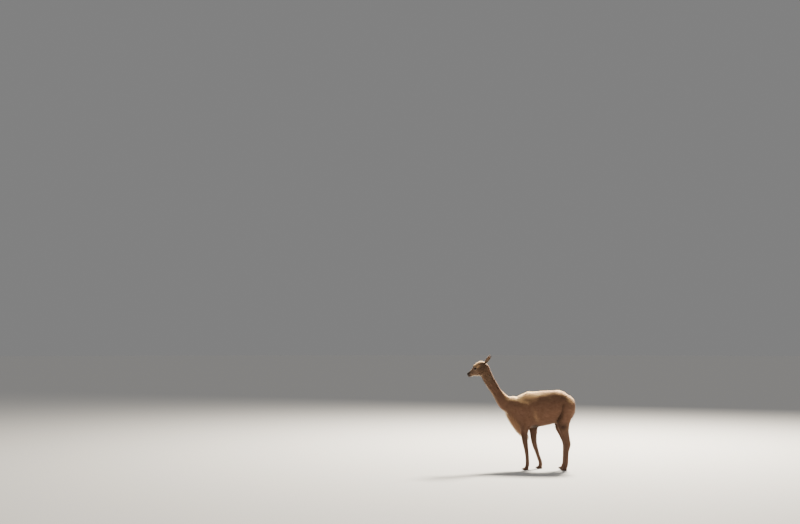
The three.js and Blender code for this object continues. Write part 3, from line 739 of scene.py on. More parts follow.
# Markings and painted sunlight, in screen values
WOOL = rgb(123, 89, 69)
# Pale wool, and also the colour of the painted sunlight on the back and crown and of the painted highlight
# behind the elbow
PALE_AND_SUNLIT = rgb(255, 206, 147)
FAWN = rgb(170, 128, 92)
CREAM = rgb(232, 208, 174)
FACE = rgb(105, 79, 60)
CHEEK = rgb(90, 67, 51)
MUZZLE = rgb(58, 45, 37)
BARE = rgb(34, 26, 24)
EAR_TIP = rgb(112, 80, 55)

# How strongly each marking shows, and the painted highlight behind the elbow
STRENGTH = {
    "patches": 0.25, "belly": 0.1, "inner leg": 0.12, "rump": 0.4, "throat": 0.35, "jaw": 0.3,
    "pale": 0.92, "elbow": 0.17, "rear": 0.3, "temple": 0.45, "chin": 0.55, "cheek": 0.7, "lid": 0.15,
    "ear cup": 0.14,
}
# Painted shade: how much darker these places are made than the wool around them, and the most of it
PAINTED_SHADE = {
    "neck": 0.28, "leg": 0.3, "flank": 0.16, "tail": 0.2, "stifle": 0.8, "armpit": 0.8,
    "fold": 0.35, "low fold": 0.5, "most": 0.8,
}
# Soft round marks: middle and half size in the side view, those of the head in its own frame. The stifle's
# and the armpit's are painted shadows.
STIFLE_SHADOW = ((0.441, 0.473), 0.044)
ARMPIT_SHADOW = ((0.139, 0.458), (0.055, 0.03))
JAW_SPOT = ((0.01, -0.085), 0.03)
TEMPLE_SPOT = ((0.085, 0.052), (0.02, 0.016))
CHEEK_SPOT = ((0.045, 0.015), (0.05, 0.035))
# The painted highlight on the crease behind the elbow: middle, half size, and how it leans
ELBOW_HIGHLIGHT = ((0.138, 0.57), (0.017, 0.062), 0.36)
# The painted sunlight on the back starts between these heights and these slopes, and higher up behind the
# shoulders
SUNLIT_BACK_LOW = (0.48, 0.6)
SUNLIT_BACK_SLOPE = (0.42, 0.8)
SUNLIT_BACK_HIGHER = 0.14
RAGGED = 0.12  # of the lower edge of the back's painted sunlight
EAR_FACING = (-0.62, 0.55, 0.1)  # the way a cup opens, on the right side


def ripple(points, size, seed):
    """A soft random pattern about 1 strong, whose waves are about this long."""
    draw = np.random.default_rng(seed)
    waves = draw.normal(size=(7, 3)) * 2.2 / size
    starts = draw.uniform(0, 2 * math.pi, 7)
    return np.sin(points @ waves.T + starts).sum(axis=1) / 3.2


def plain(colour, spots):
    """One colour for all of the places."""
    return np.tile(colour, (len(spots), 1))


def sunlit_back_share(spots):
    """Painted sunlight on the back, over wool a little paler there: 1 on top, 0 on the flanks, with a
    ragged edge between.
    """
    x, _, z = spots.points.T
    ragged = spots.normals[:, 2] + RAGGED * ripple(spots.points, 0.05, 9)
    higher = SUNLIT_BACK_HIGHER * step(x, 0.12, 0.28) * fade(x, 0.42, 0.5)
    # less painted sunlight on the rump
    rump = 1 - 0.3 * step(x, 0.42, 0.52)
    return step(ragged - higher, *SUNLIT_BACK_SLOPE) * step(z, *SUNLIT_BACK_LOW) * rump


def pale_share(spots):
    """The cream of belly, inner legs, rump beside the tail, throat and breast."""
    x, y, z = spots.points.T
    rear, _, up = spots.normals.T
    middle = np.abs(y)
    belly = STRENGTH["belly"] * spots.trunk * step(-up, 0.72, 0.98) * fade(middle, 0.05, 0.085)
    inner = STRENGTH["inner leg"] * spots.legs * step(-spots.outward, 0.0, 0.6) * step(z, 0.4, 0.5)
    rump = STRENGTH["rump"] * (1 - step(spots.tail, *TAIL_EDGE)) * (z < 0.7)
    rump = rump * step(x, 0.4, 0.5) * fade(middle, 0.02, 0.05) * step(rear, 0.1, 0.6)
    throat = STRENGTH["throat"] * spots.neck * step(-0.8 * rear - 0.6 * up, 0.6, 1.0)
    throat = throat + STRENGTH["jaw"] * spot(spots.in_head[:, [0, 2]], *JAW_SPOT)
    breast = fade(x, -0.06, 0.04) * fade(z, 0.6, 0.68) * fade(middle, 0.02, 0.045) * (1 - spots.head)
    return np.clip(np.maximum.reduce([belly, inner, rump, throat, breast]), 0, 1)


def elbow_highlight_and_pale_thighs(spots):
    """The painted highlight on the crease behind the elbow, and the pale stripes down the back of the
    thighs.
    """
    x, _, z = spots.points.T
    middle, half, lean = ELBOW_HIGHLIGHT
    leaning = np.stack([x + lean * (z - middle[1]), z], axis=1)
    elbow = spot(leaning, middle, half) * step(spots.outward, 0.1, 0.5)
    thighs = spots.part("hindleg_left", "hindleg_right") * step(z, 0.14, 0.3)
    return STRENGTH["elbow"] * elbow + STRENGTH["rear"] * thighs * step(spots.normals[:, 0], 0.5, 0.95)


def shading(spots):
    """Painted shade: how much darker the coat is made in its folds and hollows, and on the shaded sides of
    neck, legs, lower flank and tail.
    """
    z, up = spots.points[:, 2], spots.normals[:, 2]
    side_view = spots.points[:, [0, 2]]
    # painted shade in the flank fold and under the stifle, on the lower legs, the neck's sides, the lower
    # flank, in the armpit and on the tail
    shade = flank_fold(spots.points) * (PAINTED_SHADE["fold"] + PAINTED_SHADE["low fold"] * fade(z, 0.56, 0.66))
    shade += PAINTED_SHADE["stifle"] * spot(side_view, *STIFLE_SHADOW) * step(spots.outward, 0.2, 0.6)
    shade += PAINTED_SHADE["leg"] * spots.legs * fade(z, 0.36, 0.46)
    shade += PAINTED_SHADE["neck"] * spots.neck * fade(up, 0.3, 0.75)
    shade += PAINTED_SHADE["flank"] * spots.trunk * fade(z, 0.5, 0.66)
    shade += PAINTED_SHADE["armpit"] * spot(side_view, *ARMPIT_SHADOW)
    shade += PAINTED_SHADE["tail"] * step(spots.tail, *TAIL_EDGE) * fade(z, 0.6, 0.72)
    return np.clip(shade, 0, PAINTED_SHADE["most"])


def face_colour(colour, spots):
    """The brown face with painted sunlight on its crown, with a dark muzzle and bare lids, lips and
    nostrils.
    """
    s, _, h = spots.in_head.T
    side_view = spots.in_head[:, [0, 2]]
    up = spots.normals @ HEAD_UP
    # painted sunlight where the head faces up
    face = mixed(plain(FACE, spots), PALE_AND_SUNLIT, step(up, 0.48, 0.95) * fade(s, 0.1, 0.2))
    face = mixed(face, PALE_AND_SUNLIT, STRENGTH["temple"] * spot(side_view, *TEMPLE_SPOT))
    face = mixed(face, CREAM, STRENGTH["chin"] * step(-up, 0.6, 1.0) * fade(s, 0.17, 0.2))
    face = mixed(face, CHEEK, STRENGTH["cheek"] * spot(side_view, *CHEEK_SPOT))
    head = step(s, -0.04, 0.03) * step(spots.points[:, 2], 0.9, 0.94)
    colour = mixed(colour, face, head)
    eye = lid_opening(spots.points)
    colour = mixed(colour, CREAM, STRENGTH["lid"] * head * step(eye, -0.75, -0.4) * fade(eye, -0.4, -0.15))
    colour = mixed(colour, MUZZLE, head * step(s + 0.35 * h, 0.176, 0.212))
    lips = fade(from_mouth(spots.in_head), 0.0008, 0.0024) * step(s, MOUTH_CORNER, MOUTH_CORNER + 0.02)
    nostril = fade(from_nostril(spots.in_head), 0.003, 0.006)
    bare = np.maximum.reduce([lips, nostril, step(eye, -0.34, -0.1)])
    return mixed(colour, BARE, head * bare)


def in_cup(spots, side):
    """1 inside the cup of an ear."""
    facing = unit(np.array([EAR_FACING[0], SIDES[side] * EAR_FACING[1], EAR_FACING[2]]))
    return spots.part("ear_" + side) * step(spots.normals @ facing, 0.1, 0.4)


def ear_colour(colour, spots, side):
    """An ear, darker to its tip and a little pale in its cup."""
    low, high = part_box("ear_" + side)
    share = (spots.points[:, 2] - low.z) / (high.z - low.z)
    ear = mixed(plain(FACE, spots), EAR_TIP, step(share, 0.2, 0.85))
    ear = mixed(ear, CREAM, STRENGTH["ear cup"] * in_cup(spots, side) * fade(share, 0.5, 0.9))
    return mixed(colour, ear, spots.part("ear_" + side) * step(share, -0.05, 0.1))


def coat_colour(spots):
    """The coat's markings at each place, with its painted sunlight, highlight and shade."""
    body = 1 - spots.head
    patches = step(ripple(spots.points, 0.16, 5), 0.0, 1.2)
    # painted sunlight on the back
    colour = mixed(plain(WOOL, spots), PALE_AND_SUNLIT, sunlit_back_share(spots) * body)
    colour = mixed(colour, FACE, STRENGTH["patches"] * patches * body)
    colour = mixed(colour, CREAM, STRENGTH["pale"] * pale_share(spots))
    # painted highlight behind the elbow, and pale wool at the back of the thighs
    colour = mixed(colour, PALE_AND_SUNLIT, elbow_highlight_and_pale_thighs(spots))
    # painted shade
    colour = colour * (1 - shading(spots))[:, None]
    colour = face_colour(colour, spots)
    for side in SIDES:
        colour = ear_colour(colour, spots, side)
    return colour


# Coat: length, height over the skin, width of a tuft, and tufts a square metre, by part
STYLES = {
    "head": (0.0085, 0.0011, 0.0014, 150000),
    "neck": (0.025, 0.005, 0.0023, 84000),
    "trunk": (0.04, 0.0125, 0.003, 74000),
    "tail": (0.08, 0.01, 0.0028, 80000),
    "leg": (0.012, 0.0022, 0.0019, 94000),
    "ear": (0.0065, 0.0007, 0.0011, 170000),
}
# Size and number of the hair near eyes and nose, and of that in the ears' cups, to the rest of its part
FINE_HAIR = {"length": 0.5, "rise": 0.6, "width": 0.7, "number": 1.3}
CUP_HAIR = {"length": 1.6, "rise": 3}
LEG_WOOL = (0.4, 0.56)  # heights between which a leg's short hair turns to wool
PIECE_TRIANGLES = 190000
TUFT_SINK = 0.0012
LONG = 0.045  # tufts longer than this hang straighter
LOWEST = 0.0006  # no hair reaches the floor
PATCH = 0.003  # of a tuft on the unwrap
SOFT = 0.7  # how far a tuft's shading follows the hide below it


def scaled(base, factor, share):
    """This many times the base where the share is 1, and the base where it is 0."""
    return base * (1 + (factor - 1) * share)


def style(spots):
    """Length, height, width and number of the tufts at each place."""
    wool = step(spots.points[:, 2], *LEG_WOOL) * spots.legs
    parts = {
        "head": spots.head, "neck": spots.neck, "trunk": spots.trunk + spots.tail + wool,
        "leg": spots.legs - wool, "ear": spots.ears,
    }
    sizes = sum(share[:, None] * np.array(STYLES[name]) for name, share in parts.items())
    hanging = step(spots.tail, *TAIL_EDGE) * fade(spots.points[:, 2], 0.64, 0.7)
    length, rise, width, number = mixed(sizes, STYLES["tail"], hanging).T
    near_eye = step(lid_opening(spots.points), -0.6, -0.3)
    fine = spots.head * np.maximum(step(spots.in_head[:, 0], 0.1, 0.17), near_eye)
    cup = sum(in_cup(spots, side) for side in SIDES)
    length = scaled(scaled(length, FINE_HAIR["length"], fine), CUP_HAIR["length"], cup)
    rise = scaled(scaled(rise, CUP_HAIR["rise"], cup), FINE_HAIR["rise"], fine)
    return length, rise, scaled(width, FINE_HAIR["width"], fine), scaled(number, FINE_HAIR["number"], fine)


# How the coat hangs down over the flank and the rump, and how much it swirls and strays
HANG = {"flank": 0.55, "rump": 0.5}
SWIRL, STRAY = 0.22, 0.16


def lie(spots, draw):
    """The way the coat lies, along the skin."""
    way = (spots.shares[:, :, None] * spots.ways).sum(axis=0)
    outward = np.abs(spots.normals[:, 1])
    way[:, 2] -= HANG["flank"] * outward * spots.trunk
    way[:, 2] -= HANG["rump"] * spots.trunk * step(spots.normals[:, 0], 0.2, 0.8)
    swirl = SWIRL * ripple(spots.points, 0.09, 3) + draw.normal(0, STRAY, len(spots))
    way = unit(way - spots.normals * dot(way, spots.normals)[:, None])
    across = np.cross(spots.normals, way)
    return way * np.cos(swirl)[:, None] + across * np.sin(swirl)[:, None]


class Hide:
    """The skin's triangles, on which the tufts are sown."""

    def __init__(self, skin):
        mesh = skin.data
        mesh.calc_loop_triangles()
        count = len(mesh.loop_triangles)
        corners = np.empty(count * 3, np.int32)
        loops = np.empty(count * 3, np.int32)
        mesh.loop_triangles.foreach_get("vertices", corners)
        mesh.loop_triangles.foreach_get("loops", loops)
        uv = np.empty(len(mesh.loops) * 2, np.float32)
        mesh.uv_layers["OFBake"].data.foreach_get("uv", uv)
        corners = corners.reshape(-1, 3)
        self.points = points_of(skin)[corners]
        self.normals = normals_of(skin)[corners]
        self.uv = uv.reshape(-1, 2)[loops.reshape(-1, 3)]
        sides = self.points[:, 1:] - self.points[:, :1]
        self.area = np.linalg.norm(np.cross(sides[:, 0], sides[:, 1]), axis=1) / 2
        self.middles = Places(self.points.mean(axis=1), unit(self.normals.mean(axis=1)))

    def sow(self, density, draw):
        """Places spread over the hide, this many a square metre on each triangle."""
        expected = self.area * density
        count = np.floor(expected + draw.uniform(size=len(expected))).astype(int)
        chosen = np.repeat(np.arange(len(expected)), count)
        a, b = draw.uniform(size=(2, len(chosen)))
        over = a + b > 1
        a, b = np.where(over, 1 - a, a), np.where(over, 1 - b, b)
        weights = np.stack([1 - a - b, a, b], axis=1)[:, :, None]
        points = (self.points[chosen] * weights).sum(axis=1)
        normals = unit((self.normals[chosen] * weights).sum(axis=1))
        return Places(points, normals, (self.uv[chosen] * weights).sum(axis=1))


# Under the feet no hair grows below these heights, the second where the skin faces down
SOLE_HAIR = (0.004, 0.012)


def bare_places(spots):
    """True where no hair grows: between the lids, in the nostrils, on the lips and under the feet."""
    z, up = spots.points[:, 2], spots.normals[:, 2]
    lips = (from_mouth(spots.in_head) < 0.0011) & (spots.in_head[:, 0] > MOUTH_CORNER)
    sole = (z < SOLE_HAIR[0]) | ((z < SOLE_HAIR[1]) & (up < -0.5))
    return (lid_opening(spots.points) > -0.14) | (from_nostril(spots.in_head) < 0.0035) | lips | sole


LOCK_BEND = 1.6  # how late along its length a tuft bends into its lock
# Breadth of a blade along it, and its thickness to its breadth
BLADE_BREADTH = ([0, 0.3, 0.65, 1], [0.6, 1.0, 0.8, 0.15])
BLADE_FLAT, LASH_FLAT = 0.38, 0.5


def gathered(spine, roots, size, pull, draw):
    """Draws the tips of neighbouring tufts together into locks about this wide."""
    count = max(1, int(len(roots) / size))
    heads = draw.choice(len(roots), count, replace=False)
    tree = kdtree.KDTree(count)
    for i, head in enumerate(heads):
        tree.insert(roots[head], i)
    tree.balance()
    lock = np.array([tree.find(root)[1] for root in roots])
    tips = spine[:, -1]
    members = np.bincount(lock, minlength=count)[:, None]
    sums = [np.bincount(lock, tips[:, k], count) for k in range(3)]
    centre = np.stack(sums, axis=1) / np.maximum(members, 1)
    shift = (centre[lock] - tips) * pull
    share = np.linspace(0, 1, spine.shape[1]) ** LOCK_BEND
    return spine + shift[:, None, :] * share[None, :, None], lock


def blades(name, spine, across, width, colours, uv, material, lift=None, flat=BLADE_FLAT):
    """Closed three-sided blades along their spines, tapering to a point, as one mesh.

    The colours are those of roots and tips. Where lift is given, the shading leans to those normals.
    """
    count, rings = spine.shape[0], spine.shape[1] - 1
    share = np.linspace(0, 1, rings + 1)[:rings]
    breadth = np.interp(share, *BLADE_BREADTH)
    tangent = unit(np.gradient(spine, axis=1))[:, :rings]
    side = unit(across[:, None] - tangent * dot(tangent, across[:, None])[..., None])
    face = np.cross(tangent, side)
    half = (width[:, None] * breadth)[..., None] / 2
    middle = spine[:, :rings]
    ring = np.stack([
        middle - side * half - face * half * flat,
        middle + side * half - face * half * flat,
        middle + face * half * flat * 2,
    ], axis=2)
    points = np.concatenate([ring.reshape(count, rings * 3, 3), spine[:, -1:]], axis=1)
    points[..., 2] = np.maximum(points[..., 2], LOWEST)
    per = rings * 3 + 1
    quads = np.array([
        [3 * k + j, 3 * k + (j + 1) % 3, 3 * k + 3 + (j + 1) % 3, 3 * k + 3 + j]
        for k in range(rings - 1) for j in range(3)
    ])
    last = 3 * (rings - 1)
    thirds = np.array([[last + j, last + (j + 1) % 3, per - 1] for j in range(3)] + [[0, 2, 1]])
    pattern = np.concatenate([quads.ravel(), thirds.ravel()])
    starts = np.concatenate([np.arange(len(quads)) * 4, len(quads) * 4 + np.arange(4) * 3])
    loops = (np.arange(count)[:, None] * per + pattern).ravel()
    loop_starts = (np.arange(count)[:, None] * len(pattern) + starts).ravel()

    mesh = bpy.data.meshes.new(name)
    mesh.vertices.add(count * per)
    mesh.vertices.foreach_set("co", points.astype(np.float32).ravel())
    mesh.loops.add(len(loops))
    mesh.loops.foreach_set("vertex_index", loops.astype(np.int32))
    mesh.polygons.add(len(loop_starts))
    mesh.polygons.foreach_set("loop_start", loop_starts.astype(np.int32))
    mesh.update(calc_edges=True)
    mesh.polygons.foreach_set("use_smooth", np.ones(len(loop_starts), bool))
    if lift is not None:
        own = ring - middle[:, :, None]
        own = np.concatenate([unit(own).reshape(count, rings * 3, 3), tangent[:, -1:]], axis=1)
        soft = unit(lift[:, None] * SOFT + own * (1 - SOFT)).reshape(-1, 3)
        mesh.normals_split_custom_set_from_vertices(soft.astype(np.float32))

    level = np.append(np.repeat(share, 3), 1)
    roots, tips = colours
    tint = roots[:, None] * (1 - level)[:, None] + tips[:, None] * level[:, None]
    tint = np.concatenate([tint, np.ones((count, per, 1))], axis=2)
    tints = mesh.attributes.new("tint", "FLOAT_COLOR", "POINT")
    tints.data.foreach_set("color", tint.astype(np.float32).ravel())
    sideways = np.append(np.tile([-0.5, 0.5, 0], rings), 0)
    spread = np.stack([sideways, level - 0.5], axis=1) * PATCH
    patch = uv[:, None] + spread
    layer = mesh.uv_layers.new(name="OFBake")
    layer.data.foreach_set("uv", patch.reshape(-1, 2)[loops].astype(np.float32).ravel())
    piece = bpy.data.objects.new(name, mesh)
    bpy.context.collection.objects.link(piece)
    mesh.materials.append(material)
    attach(piece, "root")
    return piece


# How the tufts differ from one another: length and height of neighbours together, length and height
# of each, its curl, its width, and the brightness of each and of each lock
UNEVEN = 0.18
LENGTHS, RISES, WIDTHS = (0.75, 1.2), (0.55, 1.1), (0.7, 1.25)
CURL = 0.16
SHADE_SPREAD = 0.06
# roots darkened as painted shade deep in the coat, tips lighter
ROOT_PAINTED_SHADE, TIP_SHADE, BIB_TIP_SHADE = 0.8, 1.12, 1.08


def root_and_tip(colour, tip_shade):
    """A tuft is darker at its root, as painted shade deep in the coat, and lighter at its tip."""
    return colour * ROOT_PAINTED_SHADE, np.clip(colour * tip_shade, 0, 1)


def grow(name, spots, rings, clump, pull, material, seed):
    """The coat of one part, split into pieces of a limited number of triangles."""
    draw = np.random.default_rng(seed)
    length, rise, width, _ = style(spots)
    count = len(spots)
    vary = 1 + UNEVEN * ripple(spots.points, 0.05, seed)
    length = length * draw.uniform(*LENGTHS, count) * vary
    rise = rise * draw.uniform(*RISES, count) * vary
    way = lie(spots, draw)
    across = unit(np.cross(spots.normals, way))
    curl = draw.normal(0, CURL, count) * np.minimum(1, LONG / length)
    spine = []
    for u in np.linspace(0, 1, rings + 1):
        height = rise * math.sin(u * math.pi / 2) - TUFT_SINK * (1 - u)
        spine.append(
            spots.points + way * (length * u)[:, None] + spots.normals * height[:, None]
            + across * (length * curl * u * u)[:, None]
        )
    spine, lock = gathered(np.stack(spine, axis=1), spots.points, clump, pull, draw)
    lock_shade = draw.normal(0, SHADE_SPREAD, lock.max() + 1)[lock]
    shade = (1 + lock_shade + draw.normal(0, SHADE_SPREAD, count))[:, None]
    colour = coat_colour(spots) * shade
    width = width * draw.uniform(*WIDTHS, count)
    order = np.argsort(spots.points[:, 0])
    pieces = math.ceil(count * ((rings - 1) * 6 + 4) / PIECE_TRIANGLES)
    for i, part in enumerate(np.array_split(order, pieces), 1):
        blades(
            f"{name}_{i}", spine[part], across[part], width[part], root_and_tip(colour[part], TIP_SHADE),
            spots.uv[part], material, spots.normals[part],
        )


# Long hair of the breast: how many strands, where they grow, and their shape. Lengths are those of
# the highest and the lowest strands.
BIB = {
    "count": 3000, "density": 160000, "heights": (0.43, 0.61), "behind": 0.03, "rings": 6,
    "way": (0.37, -0.93), "length": (0.1, 0.18), "bulge": 0.011, "gather": 0.3, "width": 0.0024,
    "wave": 0.006, "clump": 26, "pull": 0.7, "brown": (0.012, 0.045),
}


def grow_bib(hide, material):
    """The bib's long strands, pale in the middle and browner at its sides."""
    draw = np.random.default_rng(29)
    low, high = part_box("chest")
    spots = hide.sow(BIB["density"], draw)
    p, n = spots.points, spots.normals
    front = -0.8 * n[:, 0] - 0.6 * n[:, 2]
    bottom, top = BIB["heights"]
    inside = (p[:, 0] < high.x + BIB["behind"]) & (p[:, 0] > low.x) & (p[:, 2] < top) & (p[:, 2] > bottom)
    odds = step(front, 0.15, 0.6) * fade(np.abs(p[:, 1]), 0.06, 0.085)
    spots = spots.only(inside & (draw.uniform(size=len(p)) < odds) & (spots.legs < 0.7))
    spots = spots.only(draw.permutation(len(spots))[: BIB["count"]])
    p, count = spots.points, len(spots)
    shortest, longest = BIB["length"]
    length = shortest + (longest - shortest) * fade(p[:, 2], 0.47, 0.6)
    length = length * draw.uniform(0.6, 1.12, count)
    way = np.tile([BIB["way"][0], 0, BIB["way"][1]], (count, 1)) + draw.normal(0, 0.07, (count, 3))
    way[:, 1] -= BIB["gather"] * p[:, 1] / 0.08
    wave = draw.normal(0, BIB["wave"], count)
    spine = []
    for u in np.linspace(0, 1, BIB["rings"] + 1):
        bulge = BIB["bulge"] * math.sin(math.pi * min(1, u * 1.15) ** 0.8)
        point = p + way * (length * u)[:, None] + spots.normals * (bulge - 0.002 * (1 - u))
        point[:, 1] += wave * math.sin(4 * u)
        spine.append(point)
    spine, lock = gathered(np.stack(spine, axis=1), p, BIB["clump"], BIB["pull"], draw)
    lock_shade = draw.normal(0, 0.05, lock.max() + 1)[lock]
    shade = (1 + lock_shade + draw.normal(0, 0.05, count))[:, None]
    brown = step(np.abs(p[:, 1]), *BIB["brown"])
    colour = mixed(mixed(plain(CREAM, spots), FAWN, brown), WOOL, 0.5 * brown) * shade
    across = unit(np.cross(spots.normals, way))
    width = BIB["width"] * draw.uniform(0.7, 1.3, count)
    blades(
        "bib", spine, across, width, root_and_tip(colour, BIB_TIP_SHADE),
        spots.uv, material, spots.normals,
    )


# Eyes

EYE_STEPS = (48, 32)
CORNEA = 0.62  # half the angle of the clear bulge
CORNEA_RISE = 0.07  # of the eyeball's radius
# Colours from the eye's middle outwards, over the angle's sine, and where the pupil ends
IRIS = [
    (0.0, (0.02, 0.012, 0.008)), (0.35, (0.05, 0.024, 0.011)), (0.62, (0.035, 0.016, 0.008)),
    (0.7, (0.006, 0.005, 0.005)), (1.0, (0.02, 0.012, 0.01)),
]
PUPIL_EDGE = (0.36, 0.46)
PUPIL_STRETCH = (0.8, 1.7, 0)  # it is a wide level oval
# One eye's lashes: the stretch of the lid that bears them, how they fan out, droop and bend up
LASHES = {
    "count": 64, "length": 0.0085, "width": 0.00038, "stretch": (-0.9, 0.82), "above": 0.05,
    "fan": 0.35, "droop": 0.45, "bend": 0.25,
}


def make_eye(side, material):
    """The eyeball with its clear bulge, turned the way it looks."""
    bpy.ops.object.select_all(action="DESELECT")
    bpy.ops.mesh.primitive_uv_sphere_add(segments=EYE_STEPS[0], ring_count=EYE_STEPS[1], radius=EYE_RADIUS)
    ball = bpy.context.object
    ball.name = ball.data.name = "eyeball_" + side
    points = points_of(ball)
    angle = np.arccos(np.clip(points[:, 2] / EYE_RADIUS, -1, 1))
    points *= (1 + CORNEA_RISE * np.cos(np.clip(angle / CORNEA, 0, 1) * math.pi / 2) ** 2)[:, None]
    inner = ball.data.attributes.new("iris", "FLOAT_VECTOR", "POINT")
    inner.data.foreach_set("vector", (points / EYE_RADIUS).astype(np.float32).ravel())
    look, along, up = eye_frame(side)
    if np.cross(along, up) @ look < 0:
        along = -along
    move_points(ball, EYE_MIDDLE[side] + points @ np.array([along, up, look]))
    picked(ball)
    bpy.ops.object.shade_smooth()
    ball.data.materials.append(material)
    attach(ball, "root")
    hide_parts("eye_" + side)


def make_lashes(side, material):
    """Long lashes on the upper lid."""
    draw = np.random.default_rng(31)
    count = LASHES["count"]
    look, along, up = eye_frame(side)
    share = np.linspace(*LASHES["stretch"], count) + draw.uniform(-0.02, 0.02, count)
    across = share * OPENING["half"]
    rise = OPENING["top"] * arch(share) * (1 + LEAN * share) + LASHES["above"]
    aim = unit(look + np.tan(across)[:, None] * along + np.tan(rise)[:, None] * up)
    root = EYE_MIDDLE[side] + aim * (EYE_RADIUS + LID_THICK * 0.6)
    way = look + LASHES["fan"] * share[:, None] * along - LASHES["droop"] * up
    way = unit(way + draw.normal(0, 0.1, (count, 3)))
    length = LASHES["length"] * draw.uniform(0.6, 1.1, count) * (1 - 0.35 * share ** 2)
    spine = np.stack([
        root + way * (length * u)[:, None] + up * (length * LASHES["bend"] * u * u)[:, None]
        for u in np.linspace(0, 1, 5)
    ], axis=1)
    colour = np.tile(BARE, (count, 1))
    uv = np.stack([(share + 1) / 2, np.full(count, 0.5)], axis=1)
    blades(
        "lashes_" + side, spine, np.tile(along, (count, 1)), np.full(count, LASHES["width"]),
        (colour, colour), uv, material, flat=LASH_FLAT,
    )


def eye_material():
    """A dark brown iris with a wide level pupil, under a wet surface."""
    material, nodes, links, shader = start_material("wet_eye", {
        "Roughness": 0.3, "Specular IOR Level": 0.1, "Coat Weight": 0.3, "Coat Roughness": 0.02,
    })
    place_in_eye = add_node(nodes, "Attribute", attribute_name="iris")
    flat = add_node(nodes, "VectorMath", {1: (1, 1, 0)}, operation="MULTIPLY")
    far = add_node(nodes, "VectorMath", operation="LENGTH")
    wide = add_node(nodes, "VectorMath", {1: PUPIL_STRETCH}, operation="MULTIPLY")
    pupil_far = add_node(nodes, "VectorMath", operation="LENGTH")
    fibres = add_node(nodes, "TexNoise", {"Scale": 9, "Detail": 6})
    iris = add_ramp(nodes, IRIS)
    pupil = add_ramp(nodes, [(PUPIL_EDGE[0], (0, 0, 0)), (PUPIL_EDGE[1], (1, 1, 1))])
    streak = add_node(nodes, "MixRGB", {"Fac": 0.6}, blend_type="MULTIPLY")
    mix = add_node(nodes, "MixRGB", {"Fac": 0.95}, blend_type="MULTIPLY")
    links.new(place_in_eye.outputs["Vector"], flat.inputs[0])
    links.new(flat.outputs["Vector"], far.inputs[0])
    links.new(far.outputs["Value"], iris.inputs["Fac"])
    links.new(place_in_eye.outputs["Vector"], wide.inputs[0])
    links.new(wide.outputs["Vector"], pupil_far.inputs[0])
    links.new(pupil_far.outputs["Value"], pupil.inputs["Fac"])
    links.new(place_in_eye.outputs["Vector"], fibres.inputs["Vector"])
    links.new(iris.outputs["Color"], streak.inputs["Color1"])
    links.new(fibres.outputs["Fac"], streak.inputs["Color2"])
    links.new(streak.outputs["Color"], mix.inputs["Color1"])
    links.new(pupil.outputs["Color"], mix.inputs["Color2"])
    links.new(mix.outputs["Color"], shader.inputs["Base Color"])
    return material


# Nails


def make_nail(node, material):
    """A nail as a smooth curved wedge."""
    nail = copy_of(node)
    nail.name = nail.data.name = "horn_" + node
    applied(nail, "SUBSURF", levels=2, render_levels=2)
    picked(nail)
    bpy.ops.object.shade_smooth()
    nail.data.materials.append(material)
    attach(nail, "root")
    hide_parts(node)


HORN = [(0.0, tuple(rgb(30, 24, 21))), (1.0, tuple(rgb(58, 47, 38)))]


def nail_material():
    """Dark horn with fine growth lines across it."""
    material, nodes, links, shader = start_material("horn", {"Roughness": 0.42})
    where = add_node(nodes, "TexCoord")
    bands = add_node(nodes, "TexWave", {"Scale": 160, "Distortion": 3, "Detail": 3})
    ramp = add_ramp(nodes, HORN)
    bump = add_node(nodes, "Bump", {"Strength": 0.15, "Distance": 0.0004})
    links.new(where.outputs["Object"], bands.inputs["Vector"])
    links.new(bands.outputs["Fac"], ramp.inputs["Fac"])
    links.new(ramp.outputs["Color"], shader.inputs["Base Color"])
    links.new(bands.outputs["Fac"], bump.inputs["Height"])
    links.new(bump.outputs["Normal"], shader.inputs["Normal"])
    return material


# Each part of the coat: rings of a blade, tufts in a lock, how far their tips are drawn together,
# material slot and seed
COATS = {
    "body": (3, 26, 0.38, "wool", 11),
    "neck": (3, 16, 0.25, "wool", 13),
    "head": (2, 6, 0.2, "face", 17),
    "legs": (2, 6, 0.2, "wool", 19),
}
DENSITY = 1


def make_coat(skin, material):
    """Sows tufts over the skin, grows each part's coat from them, and adds the bib."""
    hide = Hide(skin)
    draw = np.random.default_rng(7)
    spots = hide.sow(style(hide.middles)[3] * DENSITY, draw)
    spots = spots.only(~bare_places(spots))
    body = spots.trunk + spots.legs * step(spots.points[:, 2], *LEG_WOOL) + spots.tail > 0.5
    neck = ~body & (spots.neck > 0.5)
    head = ~body & ~neck & (spots.points[:, 2] > 0.85)
    legs = ~body & ~neck & ~head
    for name, chosen in {"body": body, "neck": neck, "head": head, "legs": legs}.items():
        rings, clump, pull, slot, seed = COATS[name]
        grow("coat_" + name, spots.only(chosen), rings, clump, pull, material, seed)
    grow_bib(hide, material)


# Materials


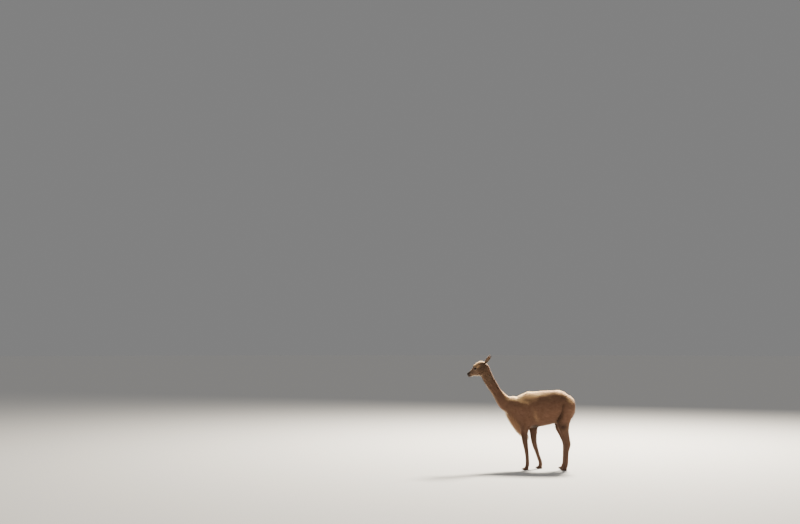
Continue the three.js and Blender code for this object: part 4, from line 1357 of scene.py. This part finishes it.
def coat_material(name, roughness, sheen):
    """Hair that takes its colour from the markings, with fine streaks of light and dark."""
    material, nodes, links, shader = start_material(name, {
        "Roughness": roughness, "Sheen Weight": sheen, "Sheen Roughness": 0.45,
        "Specular IOR Level": 0.25,
    })
    tint = add_node(nodes, "Attribute", attribute_name="tint")
    where = add_node(nodes, "TexCoord")
    patches = add_node(nodes, "TexNoise", {"Scale": 28, "Detail": 5})
    streaks = add_node(nodes, "TexNoise", {"Scale": 420, "Detail": 3})
    levels = add_node(nodes, "MapRange", {"From Min": 0.3, "From Max": 0.7, "To Min": 0.84, "To Max": 1.12})
    both = add_node(nodes, "Math", operation="ADD")
    half = add_node(nodes, "Math", {1: 0.5}, operation="MULTIPLY")
    scale = add_node(nodes, "VectorMath", operation="SCALE")
    bump = add_node(nodes, "Bump", {"Strength": 0.5, "Distance": 0.0012})
    links.new(where.outputs["Object"], patches.inputs["Vector"])
    links.new(where.outputs["Object"], streaks.inputs["Vector"])
    links.new(patches.outputs["Fac"], both.inputs[0])
    links.new(streaks.outputs["Fac"], both.inputs[1])
    links.new(both.outputs[0], half.inputs[0])
    links.new(half.outputs[0], levels.inputs["Value"])
    links.new(tint.outputs["Color"], scale.inputs[0])
    links.new(levels.outputs["Result"], scale.inputs["Scale"])
    links.new(scale.outputs["Vector"], shader.inputs["Base Color"])
    links.new(streaks.outputs["Fac"], bump.inputs["Height"])
    links.new(bump.outputs["Normal"], shader.inputs["Normal"])
    return material


def paint_skin(skin, material):
    """Gives the skin the coat's markings with their painted light and shade, a little darker still as
    painted shade between the hairs.
    """
    spots = Places(points_of(skin), normals_of(skin))
    colour = np.concatenate([coat_colour(spots) * ROOT_PAINTED_SHADE, np.ones((len(spots), 1))], axis=1)
    layer = skin.data.attributes.new("tint", "FLOAT_COLOR", "POINT")
    layer.data.foreach_set("color", colour.astype(np.float32).ravel())
    skin.data.materials.clear()
    skin.data.materials.append(material)


def unwrap(skin):
    picked(skin)
    bpy.ops.object.mode_set(mode="EDIT")
    bpy.ops.mesh.select_all(action="SELECT")
    bpy.ops.uv.smart_project(angle_limit=math.radians(66), island_margin=0.002)
    bpy.ops.object.mode_set(mode="OBJECT")
    skin.data.uv_layers.active.name = "OFBake"


make_camera()
make_studio()
skin = make_skin()
unwrap(skin)
fur = coat_material("fur", 0.75, 0.14)
hide_paint = coat_material("hide", 0.7, 0.15)
paint_skin(skin, hide_paint)
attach(skin, "root")
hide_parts(*FLESH)
make_coat(skin, fur)
wet_eye = eye_material()
for side in SIDES:
    make_eye(side, wet_eye)
    make_lashes(side, fur)
horn = nail_material()
for node in [name for name in frame["nodes"] if name.startswith("nail_")]:
    make_nail(node, horn)
